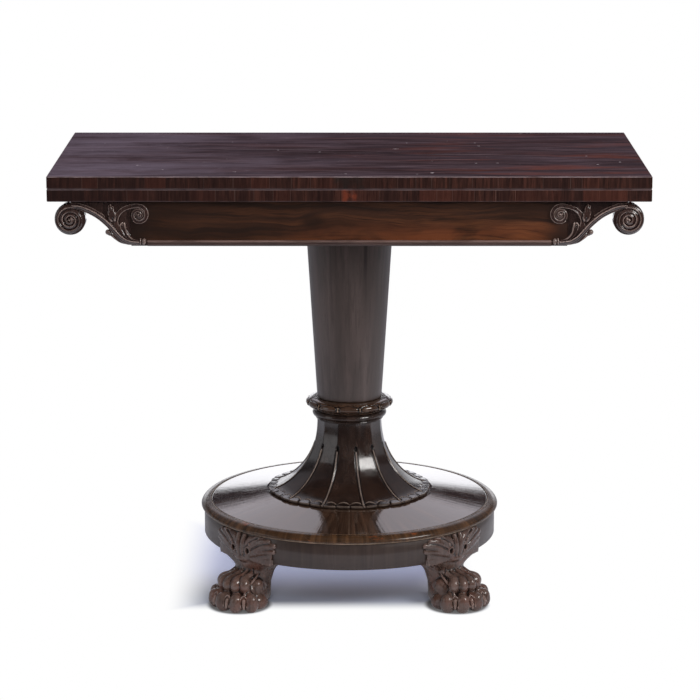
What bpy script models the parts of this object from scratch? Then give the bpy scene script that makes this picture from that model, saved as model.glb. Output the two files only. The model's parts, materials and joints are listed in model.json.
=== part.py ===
"""Fold-over tea table: a swivelling, folding top over a shallow frieze on one tapered column,
a fluted socle and a round plinth with four lion-paw feet. Metres, +Z up, front towards -Y."""

import math

import bmesh
import bpy
from mathutils import Matrix, Vector

# Clearances between pieces that touch
SEAT_GAP = 0.0003
BORE_GAP = 0.0005

# Top
TOP_WIDTH = 0.970
TOP_DEPTH = 0.485
LEAF_THICKNESS = 0.0204
LEAF_GAP = 0.0004
LEAF_ARRIS = 0.0016
GLIDE_GAP = 0.0030

# Frieze
TOP_OVERHANG = 0.133
FRIEZE_SETBACK = 0.022
FRIEZE_HEIGHT = 0.0725
RAIL_THICKNESS = 0.022
BEAD_HEIGHT = 0.0093
BEAD_DEPTH = 0.0045
BEAD_STOP = 0.0262
GLIDE_WIDTH = 0.014
GLIDE_END = 0.012

# Inside the frieze
CROSS_RAIL_X = 0.020
CROSS_RAIL_THICKNESS = 0.022
PIVOT_BOARD_THICKNESS = 0.026
PIVOT_BOARD_LAP = 0.008
WELL_BOARD_THICKNESS = 0.006
WELL_GROOVE = 0.003
BEARER_WIDTH = 0.160
BEARER_THICKNESS = 0.026
BEARER_LAP = 0.012
BEARER_RECESS = 0.0018

# Scroll brackets
BRACKET_BACK = 0.020
BRACKET_GROUND = 0.0008
RELIEF_OUT = 0.0032
BRACKET_REACH = 0.124
VOLUTE_RADIUS = 0.0260
VOLUTE_TURNS = 2.4
SMALL_VOLUTE_RADIUS = 0.0165
SMALL_VOLUTE_TURNS = 1.9
STEM_RADIUS = 0.0040
SCROLL_RADIUS = 0.0034
BERRY_RADIUS = 0.0045
TIE_RADIUS = 0.0052

# Column, collar and socle
COLUMN_LENGTH = 0.3024
COLUMN_TOP_RADIUS = 0.0742
COLUMN_FOOT_RADIUS = 0.0551
TENON_RADIUS = 0.030
COLLAR_HEIGHT = 0.0225
COLLAR_RADIUS = 0.0746
COLLAR_LOBES = 12
COLLAR_LOBE_DEPTH = 0.0022
NECK_RING_HEIGHT = 0.0150
NECK_RING_RADIUS = 0.0635
SOCLE_HEIGHT = 0.1265
SOCLE_TOP_RADIUS = 0.0559
SOCLE_RADIUS = 0.1412
SOCLE_LIP = 0.004
SOCLE_PANELS = 12
SOCLE_TURN = math.radians(-4.5)

# Plinth
DRUM_RADIUS = 0.250
DRUM_HEIGHT = 0.0444
BAND_THICKNESS = 0.006
RIM_OVERHANG = 0.0055
RIM_WIDTH = 0.0177
RIM_HEIGHT = 0.0148
BOARD_EDGE = 0.0136
BOARD_RISE = 0.014
TIE_RECESS_RADIUS = 0.046
TIE_RECESS_DEPTH = 0.014
TIE_PLATE_SIDE = 0.060
TIE_PLATE_THICKNESS = 0.004
TIE_SCREW_RADIUS = 0.006
TIE_SCREW_LENGTH = 0.070
TIE_HEAD_HEIGHT = 0.007
TIE_HEAD_RADIUS = 0.012

# Paw feet, in a frame whose +X points out from the column
FOOT_HEIGHT = 0.0806
FOOT_ANGLES = {
    "front_right": -45.0,
    "back_right": 45.0,
    "back_left": 135.0,
    "front_left": -135.0,
}
FOOT_INSET = 0.025
ANKLE_HALF_WIDTH = 0.030
TOE_COUNT = 4
PAW_CENTRE = 0.028
TOE_FAN = math.radians(56.0)
TOE_ROLL = math.radians(7.0)
KNUCKLE_OUT = 0.0185
KNUCKLE_HEIGHT = 0.0410
KNUCKLE_SIZE = (0.0200, 0.0135, 0.0170)
PAD_OUT = 0.0350
PAD_HEIGHT = 0.0150
PAD_SIZE = (0.0215, 0.0155, 0.0172)
KNEE_SIZE = (0.015, 0.062, 0.018)
KNEE_RISE = 0.016
LEAF_LOBES = ((-70.0, 0.066), (-38.0, 0.054), (0.0, 0.042), (38.0, 0.054), (70.0, 0.066))
LOBE_HALF_WIDTH = 0.0135
LOBE_RELIEF = 0.013
DOWEL_RADIUS = 0.009
DOWEL_IN_FOOT = 0.030
DOWEL_IN_DRUM = 0.022

# Swivel pivot
PIVOT_PLATE_RADIUS = 0.040
PIVOT_PLATE_THICKNESS = 0.004
PIVOT_HEAD_RADIUS = 0.016
PIVOT_HEAD_THICKNESS = 0.004
PIVOT_RADIUS = 0.008
PIVOT_TAIL = 0.021
PIVOT_WASHER_RADIUS = 0.018
PIVOT_WASHER_THICKNESS = 0.003
PIVOT_NUT_RADIUS = 0.0155
PIVOT_NUT_THICKNESS = 0.012
BEARING_RADIUS = 0.026
STOP_RADIUS = 0.058
STOP_START = math.radians(200.0)
STOP_SWING = math.radians(90.0)
STOP_PEG_RADIUS = 0.005
STOP_PEG_DROP = 0.014
STOP_PEG_IN_LEAF = 0.010
STOP_SLACK = 0.0006

# Leaf hinges at the back corners
HINGE_THICKNESS = 0.0040
HINGE_LENGTH = 0.060
HINGE_WIDTH = 0.0125
HINGE_EYE_RADIUS = 0.0052
HINGE_PIN_RADIUS = 0.0017
HINGE_SCREW_SPOTS = (0.024, 0.048)

# Screws: head radius, head depth, shank radius, length
HINGE_SCREW = (0.0034, 0.0022, 0.0017, 0.016)
BEARER_SCREW = (0.0042, 0.0028, 0.0025, 0.040)

TURN_STEPS = 40
SMALL_STEPS = 12
HINGE_STEPS = 24
DRUM_STEPS = 64
OVAL_STEPS = (8, 5)
CUTTER_OVER = 0.02

# Heights stacked from the floor
Z_DRUM = FOOT_HEIGHT
Z_BOARD = Z_DRUM + DRUM_HEIGHT + SEAT_GAP
Z_SOCLE = Z_BOARD + BOARD_EDGE + BOARD_RISE + SEAT_GAP
Z_RING = Z_SOCLE + SOCLE_HEIGHT + SEAT_GAP
Z_COLLAR = Z_RING + NECK_RING_HEIGHT + SEAT_GAP
Z_COLUMN = Z_COLLAR + COLLAR_HEIGHT + SEAT_GAP
Z_BEARER = Z_COLUMN + COLUMN_LENGTH + SEAT_GAP
Z_FRIEZE = Z_BEARER - BEARER_RECESS
Z_RAIL_TOP = Z_FRIEZE + FRIEZE_HEIGHT
Z_LEAF = Z_RAIL_TOP + GLIDE_GAP
Z_FOLD = Z_LEAF + LEAF_THICKNESS + LEAF_GAP / 2

# Plan positions
FRIEZE_END = TOP_WIDTH / 2 - TOP_OVERHANG
FRIEZE_FACE = TOP_DEPTH / 2 - FRIEZE_SETBACK
RAIL_INSIDE = FRIEZE_FACE - RAIL_THICKNESS
END_INSIDE = FRIEZE_END - RAIL_THICKNESS
PIVOT_X = TOP_DEPTH / 4
PIVOT_Y = TOP_DEPTH / 4
PLANE_BACK = TOP_DEPTH / 2
BEARER_TOP = Z_BEARER + BEARER_THICKNESS
FOOT_REACH = DRUM_RADIUS - FOOT_INSET
RIM_RADIUS = DRUM_RADIUS + RIM_OVERHANG
BOARD_RADIUS = RIM_RADIUS - RIM_WIDTH - SEAT_GAP
PIVOT_BOARD_LOW = Z_RAIL_TOP - PIVOT_BOARD_THICKNESS


def start_scene():
    """Clear the scene and make the collections and the three frames that pieces hang from."""
    for obj in list(bpy.data.objects):
        bpy.data.objects.remove(obj)
    scene = bpy.context.scene.collection
    table = bpy.data.collections.new("tea_table")
    cutters = bpy.data.collections.new("cutters")
    scene.children.link(table)
    scene.children.link(cutters)
    cutters.hide_render = True
    return table, cutters


TABLE, CUTTERS = start_scene()


def empty(name, place, parent=None):
    obj = bpy.data.objects.new(name, None)
    TABLE.objects.link(obj)
    obj.empty_display_size = 0.05
    obj.location = place
    bpy.context.view_layer.update()
    hang(obj, parent)
    return obj


def hang(obj, parent):
    """Parent an object without moving it."""
    if parent is None:
        return
    obj.parent = parent
    obj.matrix_parent_inverse = parent.matrix_world.inverted()
    bpy.context.view_layer.update()


def material(name, colour, roughness, metallic=0.0):
    mat = bpy.data.materials.new(name)
    mat.use_nodes = True
    shader = mat.node_tree.nodes["Principled BSDF"]
    shader.inputs["Base Color"].default_value = (*colour, 1.0)
    shader.inputs["Roughness"].default_value = roughness
    shader.inputs["Metallic"].default_value = metallic
    mat.diffuse_color = (*colour, 1.0)
    return mat


ROSEWOOD = material("rosewood_veneer", (0.060, 0.026, 0.018), 0.35)
CARVED = material("carved_rosewood", (0.075, 0.038, 0.028), 0.45)
CARCASS = material("carcass_mahogany", (0.230, 0.105, 0.052), 0.70)
BRASS = material("brass_fittings", (0.560, 0.400, 0.170), 0.35, 1.0)
IRON = material("iron_fittings", (0.100, 0.098, 0.095), 0.55, 1.0)
BAIZE = material("green_baize", (0.050, 0.110, 0.060), 0.95)


def piece(name, mesh, mat, parent):
    """A visible sub-part made from a mesh."""
    obj = bpy.data.objects.new(name, mesh)
    TABLE.objects.link(obj)
    if not mesh.materials:
        mesh.materials.append(mat)
    hang(obj, parent)
    return obj


def cutter(name, mesh):
    """A helper solid that Booleans use and renders leave out."""
    obj = bpy.data.objects.new("cut_" + name, mesh)
    CUTTERS.objects.link(obj)
    obj.hide_render = True
    obj.display_type = "WIRE"
    return obj


def boolean(obj, other, operation="DIFFERENCE"):
    step = obj.modifiers.new("boolean", "BOOLEAN")
    step.operation = operation
    step.solver = "EXACT"
    step.object = other


def baked(obj):
    """The mesh of an object with its modifiers applied."""
    bpy.context.view_layer.update()
    graph = bpy.context.evaluated_depsgraph_get()
    return bpy.data.meshes.new_from_object(obj.evaluated_get(graph))


def box_mesh(name, x, y, z):
    centre = Vector((sum(x) / 2, sum(y) / 2, sum(z) / 2))
    size = (x[1] - x[0], y[1] - y[0], z[1] - z[0], 1.0)
    mesh = bpy.data.meshes.new(name)
    bm = bmesh.new()
    bmesh.ops.create_cube(bm, size=1.0, matrix=Matrix.Translation(centre) @ Matrix.Diagonal(size))
    bm.to_mesh(mesh)
    bm.free()
    return mesh


def board(name, x, y, z, mat, parent, arris=0.0):
    obj = piece(name, box_mesh(name, x, y, z), mat, parent)
    if arris:
        ease = obj.modifiers.new("arris", "BEVEL")
        ease.width = arris
        ease.segments = 2
        ease.limit_method = "ANGLE"
    return obj


def turned_mesh(name, profile, steps, ring=False):
    """A profile of (radius, height) pairs, listed down its outer side, turned about Z."""
    mesh = bpy.data.meshes.new(name)
    edges = [(i, i + 1) for i in range(len(profile) - 1)]
    if ring:
        edges.append((len(profile) - 1, 0))
    mesh.from_pydata([(r, 0.0, z) for r, z in profile], edges, [])
    obj = bpy.data.objects.new(name, mesh)
    CUTTERS.objects.link(obj)
    obj.hide_render = True
    lathe = obj.modifiers.new("lathe", "SCREW")
    lathe.steps = steps
    lathe.render_steps = steps
    lathe.use_merge_vertices = True
    lathe.merge_threshold = 0.00001
    result = baked(obj)
    bpy.data.objects.remove(obj)
    result.name = name
    return result


def placed(mesh, place, axis=(0.0, 0.0, 1.0)):
    """Move a mesh built about Z so that its +Z lies along axis at place."""
    turn = Vector((0.0, 0.0, 1.0)).rotation_difference(Vector(axis)).to_matrix().to_4x4()
    mesh.transform(Matrix.Translation(place) @ turn)
    return mesh


def rod_mesh(name, radius, low, high, steps=SMALL_STEPS):
    profile = [(0.0, high), (radius, high), (radius, low), (0.0, low)]
    return turned_mesh(name, profile, steps)


def ring_mesh(name, inner, outer, low, high, steps=TURN_STEPS):
    profile = [(outer, high), (outer, low), (inner, low), (inner, high)]
    return turned_mesh(name, profile, steps, ring=True)


def loft_mesh(name, rings, looped=False):
    """Skin through rings of equal count, capped at both ends or joined into a loop."""
    mesh = bpy.data.meshes.new(name)
    bm = bmesh.new()
    loops = [[bm.verts.new(p) for p in ring] for ring in rings]
    count = len(rings[0])
    pairs = list(zip(loops, loops[1:]))
    if looped:
        pairs.append((loops[-1], loops[0]))
    for low, high in pairs:
        for i in range(count):
            j = (i + 1) % count
            bm.faces.new((low[i], low[j], high[j], high[i]))
    if not looped:
        bm.faces.new(list(reversed(loops[0])))
        bm.faces.new(loops[-1])
    bmesh.ops.recalc_face_normals(bm, faces=bm.faces)
    bm.to_mesh(mesh)
    bm.free()
    return mesh


def oval_mesh(name, centre, radii, turn=None):
    """An ellipsoid, turned by a 3x3 matrix before it is moved to its centre."""
    mesh = bpy.data.meshes.new(name)
    bm = bmesh.new()
    spin = (turn or Matrix.Identity(3)).to_4x4()
    shape = Matrix.Translation(centre) @ spin @ Matrix.Diagonal((*radii, 1.0))
    around, rows = OVAL_STEPS
    bmesh.ops.create_uvsphere(bm, u_segments=around, v_segments=rows, radius=1.0, matrix=shape)
    bm.to_mesh(mesh)
    bm.free()
    return mesh


def slab_mesh(name, outline, thickness):
    """A closed outline in XY, filled and extruded by half the thickness each way."""
    curve = bpy.data.curves.new(name, "CURVE")
    curve.dimensions = "2D"
    curve.fill_mode = "BOTH"
    curve.extrude = thickness / 2
    line = curve.splines.new("POLY")
    line.points.add(len(outline) - 1)
    for point, (x, y) in zip(line.points, outline):
        point.co = (x, y, 0.0, 1.0)
    line.use_cyclic_u = True
    obj = bpy.data.objects.new(name, curve)
    CUTTERS.objects.link(obj)
    obj.hide_render = True
    mesh = baked(obj)
    bpy.data.objects.remove(obj)
    return welded(mesh)


def tube_mesh(name, points, radii, sides=1):
    """A tube along points with its own radius at each, capped at both ends."""
    curve = bpy.data.curves.new(name, "CURVE")
    curve.dimensions = "3D"
    curve.bevel_depth = 1.0
    curve.bevel_resolution = sides
    curve.use_fill_caps = True
    line = curve.splines.new("POLY")
    line.points.add(len(points) - 1)
    for point, place, radius in zip(line.points, points, radii):
        point.co = (*place, 1.0)
        point.radius = radius
    obj = bpy.data.objects.new(name, curve)
    CUTTERS.objects.link(obj)
    obj.hide_render = True
    mesh = baked(obj)
    bpy.data.objects.remove(obj)
    return welded(mesh)


def welded(mesh):
    bm = bmesh.new()
    bm.from_mesh(mesh)
    bmesh.ops.remove_doubles(bm, verts=bm.verts, dist=0.00001)
    bmesh.ops.recalc_face_normals(bm, faces=bm.faces)
    bm.to_mesh(mesh)
    bm.free()
    return mesh


def screw_profile(sizes, extra=0.0):
    """Countersunk screw: flat of the head at 0, shank downwards."""
    head, depth, shank, length = sizes
    top = extra
    return [
        (0.0, top),
        (head + extra, top),
        (shank + extra, -depth - extra),
        (shank + extra, -length - extra),
        (0.0, -length - extra),
    ]


def screw(name, sizes, place, axis, mat, parent, through):
    """A screw and its clearance hole in every piece that it passes through."""
    piece(name, placed(turned_mesh(name, screw_profile(sizes), SMALL_STEPS), place, axis), mat, parent)
    hole = screw_profile(sizes, SEAT_GAP)
    hole[0] = (0.0, CUTTER_OVER)
    hole[1] = (sizes[0] + SEAT_GAP, CUTTER_OVER)
    hole.insert(2, (sizes[0] + SEAT_GAP, 0.0))
    cut = cutter(name, placed(turned_mesh(name, hole, SMALL_STEPS), place, axis))
    for obj in through:
        boolean(obj, cut)


def bore(name, radius, low, high, place, through):
    steps = TURN_STEPS if radius > TENON_RADIUS else SMALL_STEPS
    cut = cutter(name, placed(rod_mesh(name, radius, low, high, steps), place))
    for obj in through:
        boolean(obj, cut)


def pocket(name, x, y, z, through):
    cut = cutter(name, box_mesh(name, x, y, z))
    for obj in through:
        boolean(obj, cut)


# Paw feet
def ankle_mesh():
    """Block of the foot: flared under the plinth, waisted, then spread at the heel."""
    sections = (
        (-0.004, -0.022, 0.050, 1.22),
        (0.020, -0.021, 0.046, 1.18),
        (0.040, -0.018, 0.036, 1.04),
        (FOOT_HEIGHT - 0.022, -0.019, 0.024, 1.04),
        (FOOT_HEIGHT - 0.012, -0.025, 0.023, 1.24),
        (FOOT_HEIGHT - 0.005, -0.035, 0.026, 1.58),
        (FOOT_HEIGHT + 0.006, -0.046, 0.030, 1.96),
    )
    rings = []
    for height, back, front, widen in sections:
        middle = FOOT_REACH + (back + front) / 2
        half_long = (front - back) / 2
        half_wide = ANKLE_HALF_WIDTH * widen
        ring = []
        for i in range(16):
            angle = math.tau * i / 16
            long = math.copysign(abs(math.cos(angle)) ** 0.8, math.cos(angle))
            wide = math.copysign(abs(math.sin(angle)) ** 0.8, math.sin(angle))
            ring.append((middle + half_long * long, half_wide * wide, height))
        rings.append(ring)
    return loft_mesh("ankle", rings)


def toe_meshes():
    """Toes fanned about the middle of the paw, each a knuckle over a pad."""
    shapes = []
    for i in range(TOE_COUNT):
        fan = TOE_FAN * (2 * i / (TOE_COUNT - 1) - 1)
        turn = Matrix.Rotation(fan, 3, "Z") @ Matrix.Rotation(TOE_ROLL * (i + 1), 3, "X")
        spots = (
            ("knuckle", KNUCKLE_OUT, KNUCKLE_HEIGHT, KNUCKLE_SIZE),
            ("pad", PAD_OUT, PAD_HEIGHT, PAD_SIZE),
        )
        for label, out, height, size in spots:
            along = FOOT_REACH + PAW_CENTRE + out * math.cos(fan)
            centre = (along, out * math.sin(fan), height)
            shapes.append(oval_mesh(f"{label}_{i}", centre, size, turn))
    return shapes


def leaf_meshes():
    """Acanthus lobes fanned over the side of the plinth."""
    shapes = []
    for i, (lean, length) in enumerate(LEAF_LOBES):
        lean = math.radians(lean)
        half = length / 2
        along = half * math.sin(lean) / DRUM_RADIUS
        height = Z_DRUM + 0.002 + half * math.cos(lean)
        turn = Matrix.Rotation(along, 3, "Z") @ Matrix.Rotation(-lean, 3, "X")
        centre = (DRUM_RADIUS * math.cos(along), DRUM_RADIUS * math.sin(along), height)
        radii = (LOBE_RELIEF, LOBE_HALF_WIDTH, half + 0.003)
        shapes.append(oval_mesh(f"lobe_{i}", centre, radii, turn))
    shapes.append(oval_mesh("knee", (DRUM_RADIUS - 0.003, 0.0, Z_DRUM + KNEE_RISE), KNEE_SIZE))
    return shapes


def foot_mesh():
    form = cutter("foot_form", ankle_mesh())
    for shape in toe_meshes() + leaf_meshes():
        boolean(form, cutter(shape.name, shape), "UNION")
    wide = DRUM_RADIUS + 0.1
    socket = [
        (0.0, Z_DRUM + DRUM_HEIGHT + 0.1),
        (wide, Z_DRUM + DRUM_HEIGHT + 0.1),
        (wide, Z_DRUM + DRUM_HEIGHT - SEAT_GAP),
        (DRUM_RADIUS + SEAT_GAP, Z_DRUM + DRUM_HEIGHT - SEAT_GAP),
        (DRUM_RADIUS + SEAT_GAP, Z_DRUM - SEAT_GAP),
        (0.0, Z_DRUM - SEAT_GAP),
    ]
    boolean(form, cutter("foot_socket", turned_mesh("foot_socket", socket, DRUM_STEPS)))
    wide = 2 * DRUM_RADIUS
    floor = box_mesh("floor", (0.0, wide), (-wide, wide), (-FOOT_HEIGHT, 0.0))
    boolean(form, cutter("floor", floor))
    hole = rod_mesh("foot_hole", DOWEL_RADIUS + BORE_GAP, Z_DRUM - DOWEL_IN_FOOT - SEAT_GAP, Z_DRUM + 0.05)
    boolean(form, cutter("foot_hole", placed(hole, (FOOT_REACH, 0.0, 0.0))))
    mesh = baked(form)
    mesh.name = "paw_foot"
    mesh.materials.clear()
    return mesh


def build_feet(base, core):
    mesh = foot_mesh()
    for label, degrees in FOOT_ANGLES.items():
        turn = Matrix.Rotation(math.radians(degrees), 4, "Z")
        obj = piece(f"paw_foot_{label}", mesh, CARVED, None)
        obj.rotation_euler = (0.0, 0.0, math.radians(degrees))
        bpy.context.view_layer.update()
        hang(obj, base)
        spot = turn @ Vector((FOOT_REACH, 0.0, 0.0))
        low = Z_DRUM - DOWEL_IN_FOOT
        high = Z_DRUM + DOWEL_IN_DRUM
        dowel = placed(rod_mesh(f"foot_dowel_{label}", DOWEL_RADIUS, low, high), spot)
        piece(f"foot_dowel_{label}", dowel, CARCASS, base)
        bore(f"dowel_{label}", DOWEL_RADIUS + BORE_GAP, low, high + SEAT_GAP, spot, [core])


# Plinth
def build_plinth(base):
    bore_radius = TENON_RADIUS + BORE_GAP
    core_radius = DRUM_RADIUS - BAND_THICKNESS - SEAT_GAP
    z_top = Z_DRUM + DRUM_HEIGHT
    core_profile = [
        (core_radius, z_top),
        (core_radius, Z_DRUM),
        (TIE_RECESS_RADIUS, Z_DRUM),
        (TIE_RECESS_RADIUS, Z_DRUM + TIE_RECESS_DEPTH),
        (bore_radius, Z_DRUM + TIE_RECESS_DEPTH),
        (bore_radius, z_top),
    ]
    core = piece("plinth_core", turned_mesh("plinth_core", core_profile, TURN_STEPS, True), CARCASS, base)
    band = ring_mesh("plinth_side_band", DRUM_RADIUS - BAND_THICKNESS, DRUM_RADIUS, Z_DRUM, z_top, DRUM_STEPS)
    piece("plinth_side_band", band, ROSEWOOD, base)
    crown = Z_BOARD + BOARD_EDGE + BOARD_RISE
    board_profile = [
        (SOCLE_RADIUS + 0.002, crown),
        (BOARD_RADIUS, Z_BOARD + BOARD_EDGE),
        (BOARD_RADIUS, Z_BOARD),
        (bore_radius, Z_BOARD),
        (bore_radius, crown),
    ]
    piece("plinth_top_board", turned_mesh("plinth_top_board", board_profile, DRUM_STEPS, True), ROSEWOOD, base)
    inner = BOARD_RADIUS + SEAT_GAP
    rim_profile = [(inner, Z_BOARD + RIM_HEIGHT)]
    for i in range(6):
        angle = math.radians(90.0 - 36.0 * i)
        out = RIM_RADIUS - RIM_HEIGHT / 2 + RIM_HEIGHT / 2 * math.cos(angle)
        rim_profile.append((out, Z_BOARD + RIM_HEIGHT / 2 * (1.0 + math.sin(angle))))
    rim_profile.append((inner, Z_BOARD))
    piece("plinth_rim_moulding", turned_mesh("plinth_rim_moulding", rim_profile, DRUM_STEPS, True), ROSEWOOD, base)
    return core


def build_tie(base, shaft):
    """Iron plate and screw that draw the column tenon down onto the plinth."""
    seat = Z_DRUM + TIE_RECESS_DEPTH
    half = TIE_PLATE_SIDE / 2
    plate_z = (seat - SEAT_GAP - TIE_PLATE_THICKNESS, seat - SEAT_GAP)
    plate = board("column_tie_plate", (-half, half), (-half, half), plate_z, IRON, base)
    hole = TIE_SCREW_RADIUS + SEAT_GAP
    tip = plate_z[0] + TIE_SCREW_LENGTH
    bore("tie", hole, plate_z[0] - CUTTER_OVER, tip + SEAT_GAP, (0.0, 0.0, 0.0), [plate, shaft])
    face = plate_z[0] - SEAT_GAP
    profile = [
        (0.0, tip),
        (TIE_SCREW_RADIUS, tip - TIE_SCREW_RADIUS),
        (TIE_SCREW_RADIUS, face),
        (TIE_HEAD_RADIUS, face),
        (TIE_HEAD_RADIUS, face - TIE_HEAD_HEIGHT),
        (0.0, face - TIE_HEAD_HEIGHT),
    ]
    piece("column_tie_screw", turned_mesh("column_tie_screw", profile, SMALL_STEPS), IRON, base)


# Socle, collar and column
def panel_factor(angle, panels, turn):
    """Radius factor of a regular polygon with its corners at turn plus whole steps."""
    step = math.tau / panels
    inside = (angle - turn) % step - step / 2
    return math.cos(step / 2) / math.cos(inside)


def build_socle(base):
    steps = SOCLE_PANELS * 4
    angles = [math.tau * i / steps + SOCLE_TURN - math.pi / 2 for i in range(steps)]
    corner = SOCLE_TURN - math.pi / 2 + math.pi / SOCLE_PANELS
    flare = SOCLE_HEIGHT - SOCLE_LIP
    profile = [(SOCLE_RADIUS, 0.0, 1.0)]
    for share in (1.0, 0.985, 0.94, 0.88, 0.8, 0.68, 0.54, 0.38, 0.2, 0.0):
        swell = 1.0 - (1.0 - share**2.2) ** 0.62
        radius = SOCLE_TOP_RADIUS + (SOCLE_RADIUS - SOCLE_TOP_RADIUS) * swell
        profile.append((radius, SOCLE_LIP + flare * (1.0 - share), share))
    rings = []
    for radius, height, share in profile:
        ring = []
        for angle in angles:
            flat = panel_factor(angle, SOCLE_PANELS, corner)
            r = radius * (1.0 + (flat - 1.0) * (1.0 - share**6))
            ring.append((r * math.cos(angle), r * math.sin(angle), Z_SOCLE + height))
        rings.append(ring)
    for height in (SOCLE_HEIGHT, 0.0):
        r = TENON_RADIUS + BORE_GAP
        rings.append([(r * math.cos(a), r * math.sin(a), Z_SOCLE + height) for a in angles])
    piece("socle", loft_mesh("socle", rings, looped=True), CARVED, base)


def build_collar(base):
    bore_radius = TENON_RADIUS + BORE_GAP
    h = NECK_RING_HEIGHT
    ring_profile = [(SOCLE_TOP_RADIUS + 0.002, Z_RING + h)]
    for i in range(6):
        angle = math.radians(90.0 - 36.0 * i)
        out = NECK_RING_RADIUS - 0.36 * h * (1.0 - math.cos(angle))
        ring_profile.append((out, Z_RING + 0.58 * h + 0.38 * h * math.sin(angle)))
    ring_profile += [(SOCLE_TOP_RADIUS + 0.001, Z_RING), (bore_radius, Z_RING), (bore_radius, Z_RING + h)]
    piece("neck_ring", turned_mesh("neck_ring", ring_profile, TURN_STEPS, True), ROSEWOOD, base)
    steps = COLLAR_LOBES * 4
    angles = [math.tau * i / steps + SOCLE_TURN - math.pi / 2 for i in range(steps)]
    rings = []
    for i in range(7):
        angle = math.radians(-90.0 + 30.0 * i)
        swell = math.cos(angle)
        inner = NECK_RING_RADIUS - 0.003
        height = Z_COLLAR + COLLAR_HEIGHT / 2 * (1.0 + math.sin(angle))
        ring = []
        for j, turn in enumerate(angles):
            dip = COLLAR_LOBE_DEPTH * swell * (1.0 if j % 4 == 2 else 0.25 if j % 4 else 0.0)
            r = inner + (COLLAR_RADIUS - inner) * swell - dip
            ring.append((r * math.cos(turn), r * math.sin(turn), height))
        rings.append(ring)
    for height in (COLLAR_HEIGHT, 0.0):
        ring = [(bore_radius * math.cos(a), bore_radius * math.sin(a), Z_COLLAR + height) for a in angles]
        rings.append(ring)
    piece("carved_collar", loft_mesh("carved_collar", rings, looped=True), CARVED, base)


def build_column(base):
    tenon_low = Z_DRUM + TIE_RECESS_DEPTH + SEAT_GAP
    top = Z_COLUMN + COLUMN_LENGTH
    profile = [
        (0.0, BEARER_TOP),
        (TENON_RADIUS, BEARER_TOP),
        (TENON_RADIUS, top),
        (COLUMN_TOP_RADIUS, top),
        (COLUMN_FOOT_RADIUS, Z_COLUMN),
        (TENON_RADIUS, Z_COLUMN),
        (TENON_RADIUS, tenon_low),
        (0.0, tenon_low),
    ]
    return piece("column_shaft", turned_mesh("column_shaft", profile, TURN_STEPS), ROSEWOOD, base)


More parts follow.
